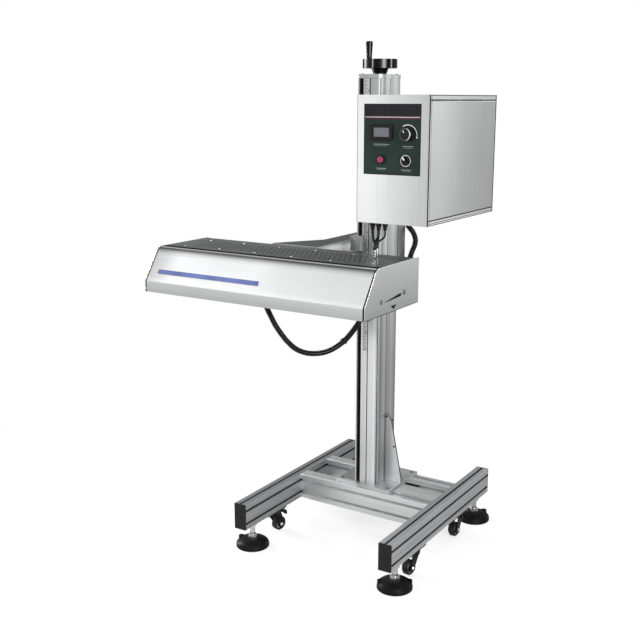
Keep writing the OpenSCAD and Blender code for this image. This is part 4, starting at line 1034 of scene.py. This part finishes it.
def add_foot_nuts():
    """A jam nut on each stem, just above its pad, and dark rings of painted shade in the cuts of its thread.
    """
    for corner in CORNERS:
        low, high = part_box(corner + "_foot")
        place = Vector(((low.x + high.x) / 2, (low.y + high.y) / 2, 0))
        matrix = Matrix.Translation(place) @ turned(NUT_TURN)
        nuts, groove_shade = bmesh.new(), bmesh.new()
        lathe(nuts, JAM_NUT, matrix, 6)
        for z in GROOVES:
            top = z + GROOVE
            lathe(groove_shade, [(STEM_R, z), (GROOVE_R, z), (GROOVE_R, top), (STEM_R, top)], matrix, 32)
        finish_mesh(corner + "_jam_nut", nuts, stem_zinc, corner + "_levelling_foot")
        finish_mesh(corner + "_thread_groove_shade", groove_shade, ink_black, corner + "_levelling_foot")


add_caster_rings()
add_cable_tie()
add_slot_cover()
add_foot_nuts()


# Rounded edges on folded sheet and machined blocks

BEVELS = {
    "box_front_panel": 1.2, "box_top_cover": 0.9, "box_bottom_tray": 0.9, "box_side_panels": 0.5,
    "box_rear_panel": 0.5, "head_end_plates": 0.9, "head_back_panel": 0.5, "column_foot_plate": 1.0,
    "column_gusset": 1.0, "carriage_rear_block": 1.5, "carriage_side_plate": 1.0,
    "carriage_front_bracket": 1.0, "head_arm": 0.8, "rail_end_caps": 1.2, "box_bracket": 0.6,
    "column_top_plate": 1.0, "meter_bezel": 1.0,
}
WELD_GAP = 0.01 * MM
FLAT_ANGLE = math.radians(0.3)
EDGE_ANGLE = math.radians(40)


def round_edges():
    """Joins the node's triangles into flat faces, so that no seam shows on them, and rounds its edges."""
    for node, width in BEVELS.items():
        weld = NODES[node].modifiers.new("weld", "WELD")
        weld.merge_threshold = WELD_GAP
        flat = NODES[node].modifiers.new("flat", "DECIMATE")
        flat.decimate_type = "DISSOLVE"
        flat.angle_limit = FLAT_ANGLE
        flat.delimit = {"MATERIAL"}
        edge = NODES[node].modifiers.new("edge", "BEVEL")
        edge.width = width * MM
        edge.segments = 2
        edge.limit_method = "ANGLE"
        edge.angle_limit = EDGE_ANGLE


round_edges()


# Stage: a white floor that keeps a soft shadow, and plain studio light

FLOOR_RADIUS = 2.6
FLOOR_DROP = 0.2 * MM
FLOOR_SHADOW = 0.3
SHADOW_REACH = (0.6, 1.7)
FLOOR_LEVELS = [(0.0, 0.36), (0.4, 0.44), (0.6, 0.74), (1.0, 0.86)]
FLOOR_REACH = (-1.2, 1.2)
SKY_LEVELS = [(0.0, 0.66), (0.1, 0.66), (0.3, 0.5), (0.6, 0.72), (0.85, 0.92)]
BACK_DIMMING = 0.55
# Where the dimmed part of the sky begins and ends, on each axis of the direction
DIM_FROM, DIM_TO, DIM_BACK, DIM_LEFT = (-0.06, 0.06), (0.4, 0.75), (0.1, 0.7), (-0.15, 0.2)
KEY_SIDE = Vector((-0.45, -0.75, 0.48)).normalized()


def add_floor():
    """A disc that is white with a soft shadow to the camera, and a grey field in glossy surfaces."""
    work = bmesh.new()
    bmesh.ops.create_circle(work, cap_ends=True, radius=FLOOR_RADIUS, segments=96)
    mesh = bpy.data.meshes.new("floor")
    work.to_mesh(mesh)
    work.free()
    floor = add_object("floor", mesh)
    floor.location = (0, 0, -FLOOR_DROP)

    material = bpy.data.materials.new("floor_white")
    material.use_nodes = True
    tree = material.node_tree
    tree.nodes.clear()
    path = add_node(tree, "LightPath").outputs
    white = add_node(tree, "Emission")
    matt = add_node(tree, "BsdfDiffuse", {"Color": (0.9, 0.9, 0.9, 1)})
    towards = calc(tree, "ADD", calc(tree, "MULTIPLY", along(tree, "X"), KEY_SIDE.x),
                   calc(tree, "MULTIPLY", along(tree, "Y"), KEY_SIDE.y))
    field = levels(tree, span(tree, towards, *FLOOR_REACH), FLOOR_LEVELS)
    mirrored = add_node(tree, "Emission", {"Color": field})
    place = add_node(tree, "TexCoord").outputs["Object"]
    far = add_node(tree, "VectorMath", {0: place}, "LENGTH").outputs["Value"]
    whiteness = span(tree, far, *SHADOW_REACH, 1 - FLOOR_SHADOW, 1.0)
    seen = mix_shaders(tree, calc(tree, "MULTIPLY", path["Is Camera Ray"], whiteness), matt, white)
    reflected = calc(tree, "MAXIMUM", path["Is Glossy Ray"], path["Is Transmission Ray"])
    add_node(tree, "OutputMaterial", {"Surface": mix_shaders(tree, reflected, seen, mirrored).outputs[0]})
    mesh.materials.append(material)


def mix_shaders(tree, factor, first, second):
    return add_node(tree, "MixShader", {"Fac": factor, 1: first.outputs[0], 2: second.outputs[0]})


def add_world():
    """Studio surroundings, brightest at the front left, dimmest low at the left back, white to the camera."""
    world = bpy.data.worlds.new("studio")
    bpy.context.scene.world = world
    world.use_nodes = True
    tree = world.node_tree
    tree.nodes.clear()
    place = add_node(tree, "TexCoord").outputs["Generated"]
    towards = add_node(tree, "VectorMath", {0: place, 1: KEY_SIDE}, "DOT_PRODUCT").outputs["Value"]
    level = levels(tree, span(tree, towards, -1, 1), SKY_LEVELS)
    across, back, height = (along(tree, axis, "Generated") for axis in "XYZ")
    low_sky = calc(tree, "MULTIPLY", span(tree, height, *DIM_FROM), span(tree, height, *DIM_TO, 1.0, 0.0))
    left_back = calc(tree, "MULTIPLY", span(tree, back, *DIM_BACK), span(tree, across, *DIM_LEFT, 1.0, 0.0))
    dimmed = calc(tree, "MULTIPLY", calc(tree, "MULTIPLY", left_back, low_sky), BACK_DIMMING)
    level = calc(tree, "MULTIPLY", level, calc(tree, "SUBTRACT", 1.0, dimmed))
    around = add_node(tree, "Background", {"Color": level})
    backdrop = add_node(tree, "Background", {"Color": (1, 1, 1, 1)})
    mix = mix_shaders(tree, add_node(tree, "LightPath").outputs["Is Camera Ray"], around, backdrop)
    add_node(tree, "OutputWorld", {"Surface": mix.outputs["Shader"]})


def add_lamp(name, place, target, size, power, mirrored, only=(), spread=True):
    """An area lamp, which glossy surfaces mirror or not, or one that lights only some pieces."""
    data = bpy.data.lights.new(name, "AREA")
    data.shape = "RECTANGLE"
    data.size, data.size_y = size
    data.energy = power
    lamp = add_object(name, data)
    lamp.visible_glossy = mirrored
    lamp.visible_diffuse = spread
    if only:
        lamp.light_linking.receiver_collection = bpy.data.collections.new(name + "_receivers")
        for node in only:
            lamp.light_linking.receiver_collection.objects.link(NODES[node])
    lamp.location = place
    lamp.rotation_euler = (Vector(target) - Vector(place)).to_track_quat("-Z", "Y").to_euler()


MIDDLE, UPPER, WHEEL = (0, 0, 0.7), (0, 0, 0.9), (0, 0, 1.4)
RIGHT_STRIP, LEFT_STRIP = (3.0, -1.9, 1.5), (-3.2, -0.1, 1.5)

add_floor()
add_world()
add_lamp("key_lamp", (-2.4, -3.2, 3.4), MIDDLE, (2, 2), 80, False)
add_lamp("top_lamp", (0.4, 0.6, 4.2), MIDDLE, (2.2, 2.2), 40, False)
add_lamp("right_strip_lamp", RIGHT_STRIP, UPPER, (0.3, 2.4), 110, True)
add_lamp("left_strip_lamp", LEFT_STRIP, UPPER, (0.3, 2.4), 110, True)
add_lamp("right_wheel_lamp", RIGHT_STRIP, WHEEL, (1.5, 2.4), 700, True, ["handwheel", "crank_handle"], False)
add_lamp("left_wheel_lamp", LEFT_STRIP, WHEEL, (0.7, 2.4), 320, True, ["handwheel"], False)
add_lamp("arm_lamp", (1.35, -2.3, 1.35), (-0.05, 0.1, 0.9), (0.3, 0.3), 80, False, ["head_arm"])

bpy.context.scene.view_settings.view_transform = "Standard"
